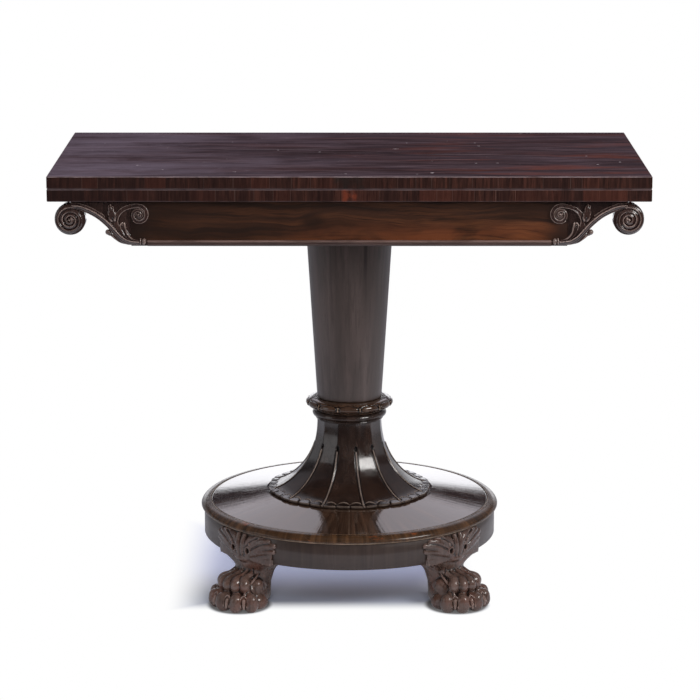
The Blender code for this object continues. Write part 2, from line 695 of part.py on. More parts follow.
# Frieze
def build_frieze(base):
    low, high = Z_FRIEZE, Z_RAIL_TOP
    full = (-FRIEZE_END, FRIEZE_END)
    front = board("frieze_front_rail", full, (-FRIEZE_FACE, -RAIL_INSIDE), (low, high), ROSEWOOD, base)
    back = board("frieze_back_rail", full, (RAIL_INSIDE, FRIEZE_FACE), (low, high), ROSEWOOD, base)
    between = (-RAIL_INSIDE + SEAT_GAP, RAIL_INSIDE - SEAT_GAP)
    left = board("frieze_left_rail", (-FRIEZE_END, -END_INSIDE), between, (low, high), ROSEWOOD, base)
    board("frieze_right_rail", (END_INSIDE, FRIEZE_END), between, (low, high), ROSEWOOD, base)

    half = BEARER_WIDTH / 2
    reach = RAIL_INSIDE + BEARER_LAP
    bearer = board("column_bearer", (-half, half), (-reach, reach), (Z_BEARER, BEARER_TOP), CARCASS, base)
    bore("bearer", TENON_RADIUS + BORE_GAP, Z_BEARER - 0.05, BEARER_TOP + 0.05, (0.0, 0.0, 0.0), [bearer])
    for side, rail in ((-1, front), (1, back)):
        ends = sorted((side * (RAIL_INSIDE - CUTTER_OVER), side * (reach + SEAT_GAP)))
        housing = (low - CUTTER_OVER, BEARER_TOP + SEAT_GAP)
        pocket(f"bearer_{side}", (-half - SEAT_GAP, half + SEAT_GAP), ends, housing, [rail])
    for label, x, side, rail in (
        ("front_left", -1, -1, front),
        ("front_right", 1, -1, front),
        ("back_left", -1, 1, back),
        ("back_right", 1, 1, back),
    ):
        place = (x * 0.7 * half, side * (RAIL_INSIDE + (WELL_GROOVE + BEARER_LAP) / 2), Z_BEARER)
        name = f"bearer_screw_{label}"
        screw(name, BEARER_SCREW, place, (0.0, 0.0, -1.0), IRON, base, [bearer, rail])

    rest = BEARER_TOP + SEAT_GAP
    cross = (CROSS_RAIL_X, CROSS_RAIL_X + CROSS_RAIL_THICKNESS)
    board("frieze_cross_rail", cross, between, (rest, high), CARCASS, base)

    groove = RAIL_INSIDE + WELL_GROOVE
    well_z = (rest, rest + WELL_BOARD_THICKNESS)
    well_x = (-END_INSIDE - WELL_GROOVE, CROSS_RAIL_X - SEAT_GAP)
    board("well_bottom_board", well_x, (-groove, groove), well_z, CARCASS, base)
    slot_x = (well_x[0] - SEAT_GAP, well_x[1] + SEAT_GAP)
    slot_y = (-groove - SEAT_GAP, groove + SEAT_GAP)
    slot_z = (well_z[0] - SEAT_GAP, well_z[1] + SEAT_GAP)
    pocket("well_groove", slot_x, slot_y, slot_z, [front, back, left])

    lap = RAIL_INSIDE + PIVOT_BOARD_LAP
    pivot_x = (cross[1] + SEAT_GAP, END_INSIDE - SEAT_GAP)
    pivot_z = (PIVOT_BOARD_LOW, high)
    pivot_board = board("pivot_board", pivot_x, (-lap, lap), pivot_z, CARCASS, base)
    rebate_x = (pivot_x[0] - SEAT_GAP, pivot_x[1] + SEAT_GAP)
    rebate_y = (-lap - SEAT_GAP, lap + SEAT_GAP)
    pocket("pivot_rebate", rebate_x, rebate_y, (PIVOT_BOARD_LOW - SEAT_GAP, high + 0.05), [front, back])
    build_beads(base)

    strip = (Z_RAIL_TOP + SEAT_GAP, Z_LEAF - SEAT_GAP)
    run = (-FRIEZE_END + GLIDE_END, FRIEZE_END - GLIDE_END)
    edge = FRIEZE_FACE - 0.003
    board("glide_strip_front", run, (-edge, -edge + GLIDE_WIDTH), strip, BAIZE, base)
    board("glide_strip_back", run, (edge - GLIDE_WIDTH, edge), strip, BAIZE, base)
    return pivot_board


def bead_mesh(name, length):
    """Half-round moulding along X, its flat back on the plane y = 0 and facing -Y."""
    rings = []
    for end in (-length / 2, length / 2):
        ring = [(end, 0.0, BEAD_HEIGHT), (end, 0.0, 0.0)]
        for i in range(7):
            angle = math.radians(-90.0 + 30.0 * i)
            up = BEAD_HEIGHT / 2 * (1.0 + 0.92 * math.sin(angle))
            ring.append((end, -BEAD_DEPTH * math.cos(angle) - 0.0006, up))
        rings.append(ring)
    return loft_mesh(name, rings)


def build_beads(base):
    face = FRIEZE_FACE + SEAT_GAP
    end = FRIEZE_END + SEAT_GAP
    side_front = FRIEZE_FACE - BRACKET_BACK - 2 * SEAT_GAP
    side_length = FRIEZE_FACE + side_front
    side_middle = (FRIEZE_FACE - side_front) / 2
    runs = (
        ("front", 2 * (FRIEZE_END - BEAD_STOP), (0.0, -face), 0.0),
        ("back", 2 * FRIEZE_END, (0.0, face), 180.0),
        ("left", side_length, (-end, side_middle), -90.0),
        ("right", side_length, (end, side_middle), 90.0),
    )
    for label, length, (x, y), degrees in runs:
        mesh = bead_mesh(f"frieze_bead_{label}", length)
        turn = Matrix.Rotation(math.radians(degrees), 4, "Z")
        mesh.transform(Matrix.Translation((x, y, Z_FRIEZE)) @ turn)
        piece(f"frieze_bead_{label}", mesh, ROSEWOOD, base)


# Scroll brackets, in a plan of distance out from the frieze end and height above its lower edge
def spiral(centre, start_radius, end_radius, start, turns, points):
    """Points and shares along a spiral; positive turns run anticlockwise."""
    places = []
    for i in range(points):
        share = i / (points - 1)
        radius = start_radius + (end_radius - start_radius) * share
        angle = start + math.tau * turns * share
        places.append((centre[0] + radius * math.cos(angle), centre[1] + radius * math.sin(angle)))
    return places


def bracket_shapes():
    """Plans of the bracket's board and of its stem and scroll tubes."""
    u, v = BRACKET_REACH, FRIEZE_HEIGHT
    eye = (u - VOLUTE_RADIUS, v - 0.0005 - VOLUTE_RADIUS)
    notch = math.radians(158.0)
    outline = [(0.0, v - 0.0005)]
    outline.append((0.4 * u, v - 0.0005))
    for i in range(15):
        angle = math.radians(90.0) - (math.radians(90.0) + math.tau - notch) * i / 14
        rim = VOLUTE_RADIUS - 0.0006
        outline.append((eye[0] + rim * math.cos(angle), eye[1] + rim * math.sin(angle)))
    for x, z in ((0.47, 0.640), (0.30, 0.414), (0.23, 0.207), (0.128, 0.083), (0.025, 0.034)):
        outline.append((x * u, z * v))
    outline.append((0.0, 0.030 * v))
    stem = [(x * u, z * v) for x, z in STEM_PLAN]
    radius = VOLUTE_RADIUS - STEM_RADIUS
    stem += spiral(eye, radius, 0.003, math.radians(120.0), -VOLUTE_TURNS, 26)
    small_eye = (-0.1025 * u, 0.708 * v)
    scroll = [(x * u, z * v) for x, z in SCROLL_PLAN]
    radius = SMALL_VOLUTE_RADIUS - SCROLL_RADIUS
    scroll += spiral(small_eye, radius, 0.0025, math.radians(75.0), SMALL_VOLUTE_TURNS, 16)
    return outline, stem, scroll


STEM_PLAN = (
    (-0.165, 0.090),
    (-0.080, 0.080),
    (0.020, 0.105),
    (0.105, 0.190),
    (0.180, 0.330),
    (0.255, 0.500),
    (0.370, 0.665),
    (0.500, 0.790),
    (0.610, 0.860),
)
SCROLL_PLAN = (
    (-0.100, 0.105),
    (-0.010, 0.200),
    (0.070, 0.310),
    (0.150, 0.450),
    (0.190, 0.610),
    (0.150, 0.760),
    (0.050, 0.850),
    (-0.030, 0.870),
)


def bracket_mesh(side):
    """The bracket for one end: side is 1 for the right and -1 for the left."""
    outline, stem, scroll = bracket_shapes()
    ground = -(FRIEZE_FACE + BRACKET_GROUND)
    relief = -(FRIEZE_FACE + RELIEF_OUT)
    rear = -(FRIEZE_FACE - BRACKET_BACK)
    inner = FRIEZE_END + SEAT_GAP

    def tube(name, plan, first, last):
        shares = [i / (len(plan) - 1) for i in range(len(plan))]
        spots = [(inner + x, relief, Z_FRIEZE + z) for x, z in plan]
        return tube_mesh(name, spots, [first + (last - first) * s for s in shares])

    plate = slab_mesh("bracket_plate", outline, rear - ground)
    stand = Matrix.Rotation(math.radians(90.0), 4, "X")
    plate.transform(Matrix.Translation((inner, (ground + rear) / 2, Z_FRIEZE)) @ stand)
    form = cutter(f"bracket_{side}", plate)
    u, v = BRACKET_REACH, FRIEZE_HEIGHT
    berry = (inner + 0.290 * u, relief + 0.002, Z_FRIEZE + 0.312 * v)
    tie = (inner - 0.163 * u, relief, Z_FRIEZE + 0.100 * v)
    leaf = (inner + 0.255 * u, relief, Z_FRIEZE + 0.78 * v)
    lean = Matrix.Rotation(math.radians(-14.0), 3, "Y")
    shapes = (
        tube("stem", stem, STEM_RADIUS, 0.6 * STEM_RADIUS),
        tube("scroll", scroll, SCROLL_RADIUS, 0.6 * SCROLL_RADIUS),
        oval_mesh("berry", berry, (BERRY_RADIUS,) * 3),
        oval_mesh("tie", tie, (TIE_RADIUS, TIE_RADIUS, TIE_RADIUS)),
        oval_mesh("leaf", leaf, (0.0062, 0.0050, 0.0135), lean),
    )
    for shape in shapes:
        boolean(form, cutter(f"bracket_{shape.name}_{side}", shape), "UNION")
    face = -(FRIEZE_FACE + SEAT_GAP)
    keep_out = box_mesh("keep_out", (0.0, inner), (face, 0.1), (Z_FRIEZE - 0.1, Z_FRIEZE + 0.2))
    boolean(form, cutter(f"bracket_keep_out_{side}", keep_out))
    mesh = baked(form)
    mesh.materials.clear()
    if side < 0:
        mesh.transform(Matrix.Scale(-1.0, 4, (1.0, 0.0, 0.0)))
        mesh.flip_normals()
    return mesh


def build_brackets(base):
    piece("scroll_bracket_front_right", bracket_mesh(1), CARVED, base)
    piece("scroll_bracket_front_left", bracket_mesh(-1), CARVED, base)


# Top and its swivel
def build_leaves(top, fold):
    width = (-TOP_WIDTH / 2, TOP_WIDTH / 2)
    depth = (-TOP_DEPTH / 2, PLANE_BACK - LEAF_GAP / 2)
    low = (Z_LEAF, Z_LEAF + LEAF_THICKNESS)
    high = (Z_FOLD + LEAF_GAP / 2, Z_FOLD + LEAF_GAP / 2 + LEAF_THICKNESS)
    lower = board("lower_leaf", width, depth, low, ROSEWOOD, top, LEAF_ARRIS)
    upper = board("upper_leaf", width, depth, high, ROSEWOOD, fold, LEAF_ARRIS)
    return lower, upper


def arc_slot(radius, half, start, end):
    """Outline of a slot along an arc, with half-round ends."""
    points = []
    for i in range(13):
        angle = start + (end - start) * i / 12
        points.append(((radius + half) * math.cos(angle), (radius + half) * math.sin(angle)))
    for centre, turn, sign in ((end, end, 1), (start, start + math.pi, 1)):
        if centre == start:
            for i in range(13):
                angle = end + (start - end) * i / 12
                points.append(((radius - half) * math.cos(angle), (radius - half) * math.sin(angle)))
        middle = (radius * math.cos(centre), radius * math.sin(centre))
        for i in range(1, 6):
            angle = turn + sign * math.pi * i / 6
            points.append((middle[0] + half * math.cos(angle), middle[1] + half * math.sin(angle)))
    return points


def build_pivot(base, top, lower, pivot_board):
    spot = (PIVOT_X, PIVOT_Y, 0.0)
    seat = Z_LEAF + PIVOT_PLATE_THICKNESS
    plate = ring_mesh(
        "pivot_plate", PIVOT_RADIUS + SEAT_GAP, PIVOT_PLATE_RADIUS, Z_LEAF, seat, TURN_STEPS // 2
    )
    piece("pivot_plate", placed(plate, spot), IRON, top)
    bore("plate_recess", PIVOT_PLATE_RADIUS + BORE_GAP, Z_LEAF - 0.01, seat + SEAT_GAP, spot, [lower])
    head = seat + SEAT_GAP + PIVOT_HEAD_THICKNESS
    bore("head_recess", PIVOT_HEAD_RADIUS + BORE_GAP, Z_LEAF - 0.01, head + SEAT_GAP, spot, [lower])
    tail = PIVOT_BOARD_LOW - PIVOT_TAIL
    profile = [
        (0.0, head),
        (PIVOT_HEAD_RADIUS, head),
        (PIVOT_HEAD_RADIUS, seat + SEAT_GAP),
        (PIVOT_RADIUS, seat + SEAT_GAP),
        (PIVOT_RADIUS, tail),
        (0.0, tail),
    ]
    piece("pivot_bolt", placed(turned_mesh("pivot_bolt", profile, SMALL_STEPS), spot), IRON, top)
    hole = PIVOT_RADIUS + SEAT_GAP
    bore("pivot_hole", hole, tail, Z_RAIL_TOP + CUTTER_OVER, spot, [pivot_board])
    bearing_z = (Z_RAIL_TOP + SEAT_GAP, Z_LEAF - SEAT_GAP)
    bearing = ring_mesh("pivot_bearing_ring", hole, BEARING_RADIUS, *bearing_z, TURN_STEPS // 2)
    piece("pivot_bearing_ring", placed(bearing, spot), BRASS, base)
    under = PIVOT_BOARD_LOW - SEAT_GAP
    nut_top = under - PIVOT_WASHER_THICKNESS - SEAT_GAP
    washer = ring_mesh(
        "pivot_washer", hole, PIVOT_WASHER_RADIUS, under - PIVOT_WASHER_THICKNESS, under, SMALL_STEPS
    )
    piece("pivot_washer", placed(washer, spot), IRON, top)
    nut = rod_mesh("pivot_nut", PIVOT_NUT_RADIUS, nut_top - PIVOT_NUT_THICKNESS, nut_top, 6)
    nut = piece("pivot_nut", placed(nut, spot), IRON, top)
    bore("nut_hole", hole, tail - CUTTER_OVER, Z_RAIL_TOP, spot, [nut])

    peg_at = (
        PIVOT_X + STOP_RADIUS * math.cos(STOP_START),
        PIVOT_Y + STOP_RADIUS * math.sin(STOP_START),
        0.0,
    )
    peg_top = Z_LEAF + STOP_PEG_IN_LEAF
    peg = rod_mesh("stop_peg", STOP_PEG_RADIUS, Z_LEAF - STOP_PEG_DROP, peg_top)
    piece("stop_peg", placed(peg, peg_at), BRASS, top)
    bore("peg_hole", STOP_PEG_RADIUS + SEAT_GAP, Z_LEAF - 0.01, peg_top + SEAT_GAP, peg_at, [lower])
    outline = arc_slot(STOP_RADIUS, STOP_PEG_RADIUS + STOP_SLACK, STOP_START, STOP_START + STOP_SWING)
    slot = slab_mesh("stop_slot", outline, 2 * PIVOT_BOARD_THICKNESS)
    boolean(pivot_board, cutter("stop_slot", placed(slot, (PIVOT_X, PIVOT_Y, Z_RAIL_TOP))))


# Leaf hinges
def strap_mesh(name, side, rise):
    """One strap: lower if rise is -1, upper if 1; its eye keeps to half of the thickness."""
    outer = side * TOP_WIDTH / 2
    inner = side * (TOP_WIDTH / 2 - HINGE_THICKNESS)
    middle = (outer + inner) / 2
    y = (PLANE_BACK - HINGE_LENGTH, PLANE_BACK - LEAF_GAP)
    z = sorted((Z_FOLD + rise * LEAF_GAP, Z_FOLD + rise * HINGE_WIDTH))
    strap = cutter(name, box_mesh(name, sorted((outer, inner)), y, z))
    half_gap = SEAT_GAP / 2
    own = (inner, middle - side * half_gap) if rise < 0 else (middle + side * half_gap, outer)
    other = (middle - side * half_gap, outer + side * 0.01)
    if rise > 0:
        other = (inner - side * 0.01, middle + side * half_gap)
    axis = (1.0, 0.0, 0.0)
    spot = (0.0, PLANE_BACK, Z_FOLD)
    clear = rod_mesh(name + "_clear", HINGE_EYE_RADIUS + SEAT_GAP, *sorted(other), HINGE_STEPS)
    boolean(strap, cutter(name + "_clear", placed(clear, spot, axis)))
    eye = rod_mesh(name + "_eye", HINGE_EYE_RADIUS, *sorted(own), HINGE_STEPS)
    boolean(strap, cutter(name + "_eye", placed(eye, spot, axis)), "UNION")
    ends = sorted((inner - side * CUTTER_OVER, outer + side * CUTTER_OVER))
    hole = rod_mesh(name + "_hole", HINGE_PIN_RADIUS + SEAT_GAP, *ends)
    boolean(strap, cutter(name + "_hole", placed(hole, spot, axis)))
    mesh = baked(strap)
    mesh.materials.clear()
    return mesh


def build_hinges(top, fold, lower, upper):
    for label, side in (("left", -1), ("right", 1)):
        outer = side * TOP_WIDTH / 2
        floor = side * (TOP_WIDTH / 2 - HINGE_THICKNESS - SEAT_GAP)
        x = sorted((outer + side * CUTTER_OVER, floor))
        y = (PLANE_BACK - HINGE_LENGTH - SEAT_GAP, PLANE_BACK + CUTTER_OVER)
        for level, rise, leaf, frame in (("lower", -1, lower, top), ("upper", 1, upper, fold)):
            z = sorted((Z_FOLD - rise * 0.001, Z_FOLD + rise * (HINGE_WIDTH + SEAT_GAP)))
            pocket(f"hinge_{label}_{level}", x, y, z, [leaf])
            name = f"hinge_strap_{level}_{label}"
            strap = piece(name, strap_mesh(name, side, rise), BRASS, frame)
            for i, back in enumerate(HINGE_SCREW_SPOTS):
                spot = (outer, PLANE_BACK - back, Z_FOLD + rise * (HINGE_WIDTH + LEAF_GAP) / 2)
                title = f"hinge_screw_{level}_{label}_{i + 1}"
                screw(title, HINGE_SCREW, spot, (side, 0.0, 0.0), BRASS, frame, [strap, leaf])
        ends = sorted((outer, outer - side * HINGE_THICKNESS))
        pin = rod_mesh(f"hinge_pin_{label}", HINGE_PIN_RADIUS, *ends)
        pin = placed(pin, (0.0, PLANE_BACK, Z_FOLD), (1.0, 0.0, 0.0))
        piece(f"hinge_pin_{label}", pin, BRASS, top)


def build():
    base = empty("pedestal", (0.0, 0.0, 0.0))
    top = empty("swivel_axis", (PIVOT_X, PIVOT_Y, Z_LEAF), base)
    fold = empty("fold_axis", (0.0, PLANE_BACK, Z_FOLD), top)
    core = build_plinth(base)
    build_feet(base, core)
    build_socle(base)
    build_collar(base)
    shaft = build_column(base)
    build_tie(base, shaft)
    pivot_board = build_frieze(base)
    build_brackets(base)
    lower, upper = build_leaves(top, fold)
    build_pivot(base, top, lower, pivot_board)
    build_hinges(top, fold, lower, upper)


build()
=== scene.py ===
"""Look of a fold-over tea table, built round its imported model.

+X runs along the long side of the top, -Y is the front and +Z is up.
The table is worked in millimetres, and the studio in metres.
"""

import json
import math

import bmesh
import bpy
import numpy as np
from mathutils import Euler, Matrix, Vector

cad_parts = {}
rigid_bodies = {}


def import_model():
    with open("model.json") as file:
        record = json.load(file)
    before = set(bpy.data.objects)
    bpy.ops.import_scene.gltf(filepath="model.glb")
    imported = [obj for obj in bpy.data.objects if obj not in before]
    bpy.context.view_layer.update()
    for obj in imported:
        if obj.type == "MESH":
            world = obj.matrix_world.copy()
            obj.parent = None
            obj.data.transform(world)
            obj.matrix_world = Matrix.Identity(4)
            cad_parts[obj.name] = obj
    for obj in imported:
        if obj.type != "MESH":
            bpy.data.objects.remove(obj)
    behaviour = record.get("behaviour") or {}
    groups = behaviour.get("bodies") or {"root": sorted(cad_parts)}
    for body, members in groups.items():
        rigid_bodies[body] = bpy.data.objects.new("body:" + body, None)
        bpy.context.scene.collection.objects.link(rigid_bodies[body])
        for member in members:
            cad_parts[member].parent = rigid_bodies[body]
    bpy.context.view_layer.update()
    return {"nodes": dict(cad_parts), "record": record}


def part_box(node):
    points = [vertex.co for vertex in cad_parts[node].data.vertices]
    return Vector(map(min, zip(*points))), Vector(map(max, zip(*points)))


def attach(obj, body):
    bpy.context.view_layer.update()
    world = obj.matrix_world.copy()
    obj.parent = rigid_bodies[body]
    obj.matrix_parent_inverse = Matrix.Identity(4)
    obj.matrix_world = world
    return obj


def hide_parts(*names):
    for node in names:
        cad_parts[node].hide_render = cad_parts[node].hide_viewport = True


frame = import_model()
NODES = frame["nodes"]
SLOT_OF = {part["node"]: part["material_slot"] for part in frame["record"]["subparts"]}
MM = 0.001
SIDES = (-1.0, 1.0)


def span(node):
    """Reach along X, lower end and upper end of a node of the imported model."""
    low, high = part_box(node)
    return high.x / MM, low.z / MM, high.z / MM


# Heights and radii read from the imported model
FRIEZE_END, Z_FRIEZE, Z_RAIL_TOP = span("frieze_front_rail")
FRIEZE_FACE = -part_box("frieze_front_rail")[0].y / MM
BRACKET_REACH = span("scroll_bracket_front_right")[0] - FRIEZE_END
DRUM_RADIUS, Z_DRUM, Z_DRUM_TOP = span("plinth_side_band")
CORE_RADIUS = span("plinth_core")[0]
RIM_RADIUS, Z_RIM, Z_RIM_TOP = span("plinth_rim_moulding")
BOARD_RADIUS, _, Z_BOARD_TOP = span("plinth_top_board")
SOCLE_RADIUS, Z_SOCLE, Z_SOCLE_TOP = span("socle")
RING_RADIUS, Z_RING, Z_RING_TOP = span("neck_ring")
COLLAR_RADIUS, Z_COLLAR, Z_COLLAR_TOP = span("carved_collar")
COLUMN_TOP_RADIUS = span("column_shaft")[0]
Z_COLUMN_TOP = span("column_bearer")[1]
SEAT_GAP = 0.3

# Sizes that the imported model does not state
COLUMN_FOOT_RADIUS = 55.1
SOCLE_TOP_RADIUS = 55.9
TENON_RADIUS = 30.5
BOARD_EDGE_TOP = 138.9
BOARD_EASE = 2.2
BAND_EASE = 1.2
TURN_STEPS = 192
FOOT_TURNS = {"front_right": -45.0, "back_right": 45.0, "back_left": 135.0, "front_left": 225.0}

# Turned profiles as shares of their width and height; the ring's width is counted from its radius
RING_PLAN = ((-7.8, 1.0), (-5, 0.985), (-2.2, 0.91), (-0.6, 0.78), (0, 0.62), (-0.6, 0.46), (-2.2, 0.32),
             (-4.6, 0.225), (-5.8, 0.195), (-5.6, 0.16), (-5.2, 0.09), (-5.8, 0.0))
RIM_PLAN = ((0.0, 0.925), (0.10, 0.925), (0.26, 0.912), (0.46, 0.865), (0.68, 0.76), (0.86, 0.60),
            (0.97, 0.43), (1.0, 0.31), (0.985, 0.22), (0.93, 0.17), (0.86, 0.15), (0.84, 0.10), (0.84, 0.0))
COLLAR_PLAN = ((0.76, 1.0), (0.85, 0.985), (0.925, 0.90), (0.980, 0.74), (1.0, 0.55), (0.99, 0.40),
               (0.955, 0.27), (0.90, 0.18), (0.84, 0.13), (0.81, 0.08), (0.80, 0.0))

# Socle and collar, with turns in degrees
SOCLE_PANELS = 12
SOCLE_TURN = 10.5
SOCLE_LIP = 4
SOCLE_LIP_EASE = 1.6
SOCLE_EYE_Z = 237.5
SOCLE_LOBES = 3
SOCLE_ARCH = 14
COLLAR_OVALS = 12
COLLAR_TURN = -0.7
COLLAR_OVAL = (17.2, 8.6)
COLLAR_BUD = (2.1, 6.2)

# Paw, with turns in degrees round its middle; ankle rows are height, middle, depth, width and squareness
PAW_CELL = 0.95
PAW_MIDDLE = DRUM_RADIUS + 2
TOE_FAN = (-64, -32, 0, 32, 64)
CLAW_FAN = (-48, -16, 16, 48)
KNUCKLE_CLOSE = 0.80
TENDON_FAN = (-56, -28, 0, 28, 56)
HAIR_FAN = (-84, -40, 0, 40, 84)
HAIR_RADII = (0.8, 1.3, 1.6, 1.7, 1.6, 1.3, 0.8)
ANKLE_ROWS = (
    (-4, 222.5, 15, 15, 2), (0, 222.5, 18, 18, 2), (4, 222.5, 22, 22, 2), (10, 222, 24.5, 24.5, 2),
    (35, 221, 24.8, 24.8, 2), (45, 221.2, 27.5, 28, 2), (55, 221.5, 30.5, 31.2, 2),
    (62, 221.5, 31.8, 34.5, 2.2), (68, 221.5, 32.5, 40.5, 2.6), (73, 221.5, 33, 51.5, 3.2),
    (77.5, 221.5, 33.2, 65, 4), (80.6, 221.5, 33.2, 74, 5), (86, 221.5, 33.2, 74, 5))
SHIN_LINE = ((-11, 24, 65), (-8.8, 25.6, 54), (10, 30, 44), (22.5, 31, 35), (29, 33.5, 25))

# Leaf over the plinth, along from its middle and up from the lower edge
WING_TIPS = ((25.5, 39), (40, 41.5), (52, 40.5), (61, 36.5), (66, 30), (65.5, 22.5))
WING_RIBS = 5
WING_ROOT = (6, 3.5)
LEAF_NOTCH = 0.97
PETAL = ((3.6, 3), (4.6, 15), (5.6, 29), (6.6, 41))
LEAF_EYE = (16.5, 17)
LEAF_CURL = (5.6, 6.2)
LEAF_BEAD = (21.5, 29)

# Scroll bracket, outward from the end of the frieze and up from its lower edge
BRACKET_CELL = 0.64
BRACKET_DEPTH = 20
BRACKET_FOOT = 2.1
VOLUTE_RADIUS = 27.2
VOLUTE_SHIFT = 1.8
VOLUTE_TUBE = 4.7
VOLUTE_TURNS = 2.9
SMALL_VOLUTE = (-12.3, 51.3)
SMALL_VOLUTE_RADIUS = 15.5
SMALL_VOLUTE_TURNS = 1.8
GROUND_PAINTED_SHADE_RELIEF = -0.16
STEM_PLAN = ((-12, 6.2), (4, 8.5), (16.5, 16), (27, 27.5), (37, 38.5), (52, 51), (69, 60.3), (83, 65),
             (94.5, 65.8))
SCROLL_PLAN = ((0.6, 5.6), (12.4, 14.7), (20.1, 25), (23.3, 34.7), (23.7, 43.2), (20.3, 52.2),
               (13.6, 59.2), (4, 64), (-9.1, 66.4))
HUSK_OUTER = ((-0.6, 7.4), (10, 17.1), (16, 27.4), (17.4, 34.5), (13.5, 38.5))
HUSK_INNER = ((-13, 8), (-1.8, 11.6), (6.5, 20.1), (8.9, 28.6), (10.5, 37.5))
HUSK_MIDDLE = ((-7, 7.8), (4.2, 14.6), (11.2, 24), (13.2, 33))
HUSK_RADII = (2.2, 2.7, 3.2, 3.6, 3.9, 4.1, 4.2, 4.2, 4.1, 3.9, 3.6, 3)
TWIG_PLAN = ((6, 4.2), (17, 7), (26.5, 13.5), (34.5, 20.5))
GROUND_PLAN = ((0.3, 3), (15.4, 6), (27.6, 15), (36, 30), (52, 44), (69, 56), (76, 56), (97.5, 60),
               (97.5, 71.5), (0.3, 71.5))
LEAF_FOOT = (28, 40)
LEAF_FAN = ((-46, 12), (-30, 19), (-15, 25), (0, 28.5), (14, 27), (29, 21.5), (46, 14))
LEAF_RADII = (1.6, 2.1, 2.4, 2.5, 2.4, 2, 1.2)
LEAF_PROUD = (2.4, 4.4, 5.8, 6.4, 6.4, 5.8, 4.6)

# Half-round beads, the joint of the board's veneer in degrees from +X, and a dark streak on the column: its
# turn from +X in degrees, lower end and upper end
BEAD_STEPS = 12
BEAD_SEAT = 0.35
BOARD_JOINT = -90.2
COLUMN_STREAK = (-67.5, 515, 570)

# Studio in metres: floor, room by height of the direction, lamps and camera
FLOOR_RADIUS = 2.2
FLOOR_BACK = 1.2
FLOOR_COLOUR = (0.80, 0.81, 0.86, 1.0)
# Painted shade: to the camera, the floor under the front of the table is tinted darker and bluer
FLOOR_FRONT_PAINTED_SHADE = (0.04, 0.16)
FLOOR_FRONT_PAINTED_SHADE_COLOUR = (0.56, 0.62, 0.78, 1.0)
FLOOR_WHITE_SIDE = (-0.045, 0.175, 0.265)
FLOOR_WHITE_FRONT = (0.156, 0.216)
FLOOR_WHITE_BACK = (0.20, 0.34)
# Painted light: a bluish glow, seen only by the camera, on the floor under the back of the table
FLOOR_PAINTED_LIGHT = (-0.14, 0.05, 0.0, 0.46)
FLOOR_PAINTED_LIGHT_COLOUR = (0.62, 0.68, 0.98, 1.0)
FOOT_PLACE = 0.182
FOOT_SHADE_LEFT = 0.002
FOOT_SHADE = (0.047, 0.058)
FOOT_WHITE = 0.10
# Painted shadow: to the camera, the floor round each foot is tinted dark
FOOT_SHADE_COLOUR = (0.17, 0.165, 0.17, 1.0)
ROOM_TURN = (-0.30, 0.25)
ROOM_SIDE = (0.16, 0.40, 1.0, 0.22)
ROOM_FRONT_COLOUR = (0.035, 0.035, 0.040, 1.0)
ROOM_GAP_COLOUR = (0.03, 0.03, 0.04, 1.0)
ROOM_BACK = (
    (0.0, (1.50, 1.50, 1.55, 1.0)), (0.190, (1.90, 1.90, 1.98, 1.0)), (0.206, ROOM_GAP_COLOUR),
    (0.335, ROOM_GAP_COLOUR), (0.352, (1.02, 0.97, 1.06, 1.0)), (1.0, (0.60, 0.58, 0.63, 1.0)))
WHITE = (1.0, 1.0, 1.0, 1.0)
# Name, place, aim, size, watts, colour and whether it shows in gloss
LAMPS = (
    ("key_right", (1.75, -1.30, 1.60), (0.0, 0.0, 0.30), (0.95, 0.66), 25.0, (1.0, 0.98, 0.96), True),
    ("panel_left", (-2.10, -0.85, 0.75), (0.0, 0.0, 0.35), (0.90, 1.30), 3.6, (0.97, 0.98, 1.0), True),
    ("fill_front", (0.10, -3.00, 1.60), (0.0, 0.0, 0.40), (2.40, 1.60), 50.0, (1.0, 0.99, 0.98), False),
    ("overhead", (0.0, 0.0, 2.60), (0.0, 0.0, 0.0), (2.20, 2.20), 28.0, (0.98, 0.98, 1.0), False),
)
CAMERA_PLACE = (0.001, -4.7284, 1.4650)
CAMERA_DOWN = 12.732
CAMERA_LENS = 145.95
CAMERA_SENSOR = 36.0

# Distance fields on a grid, for carving
FAR = 1000.0


def smooth_min(a, b, soft):
    """The lower of two distances, rounded where they are within soft of each other."""
    if soft <= 0.0:
        return np.minimum(a, b)
    near = np.maximum(soft - np.abs(a - b), 0.0) / soft
    return np.minimum(a, b) - near * near * soft / 4.0


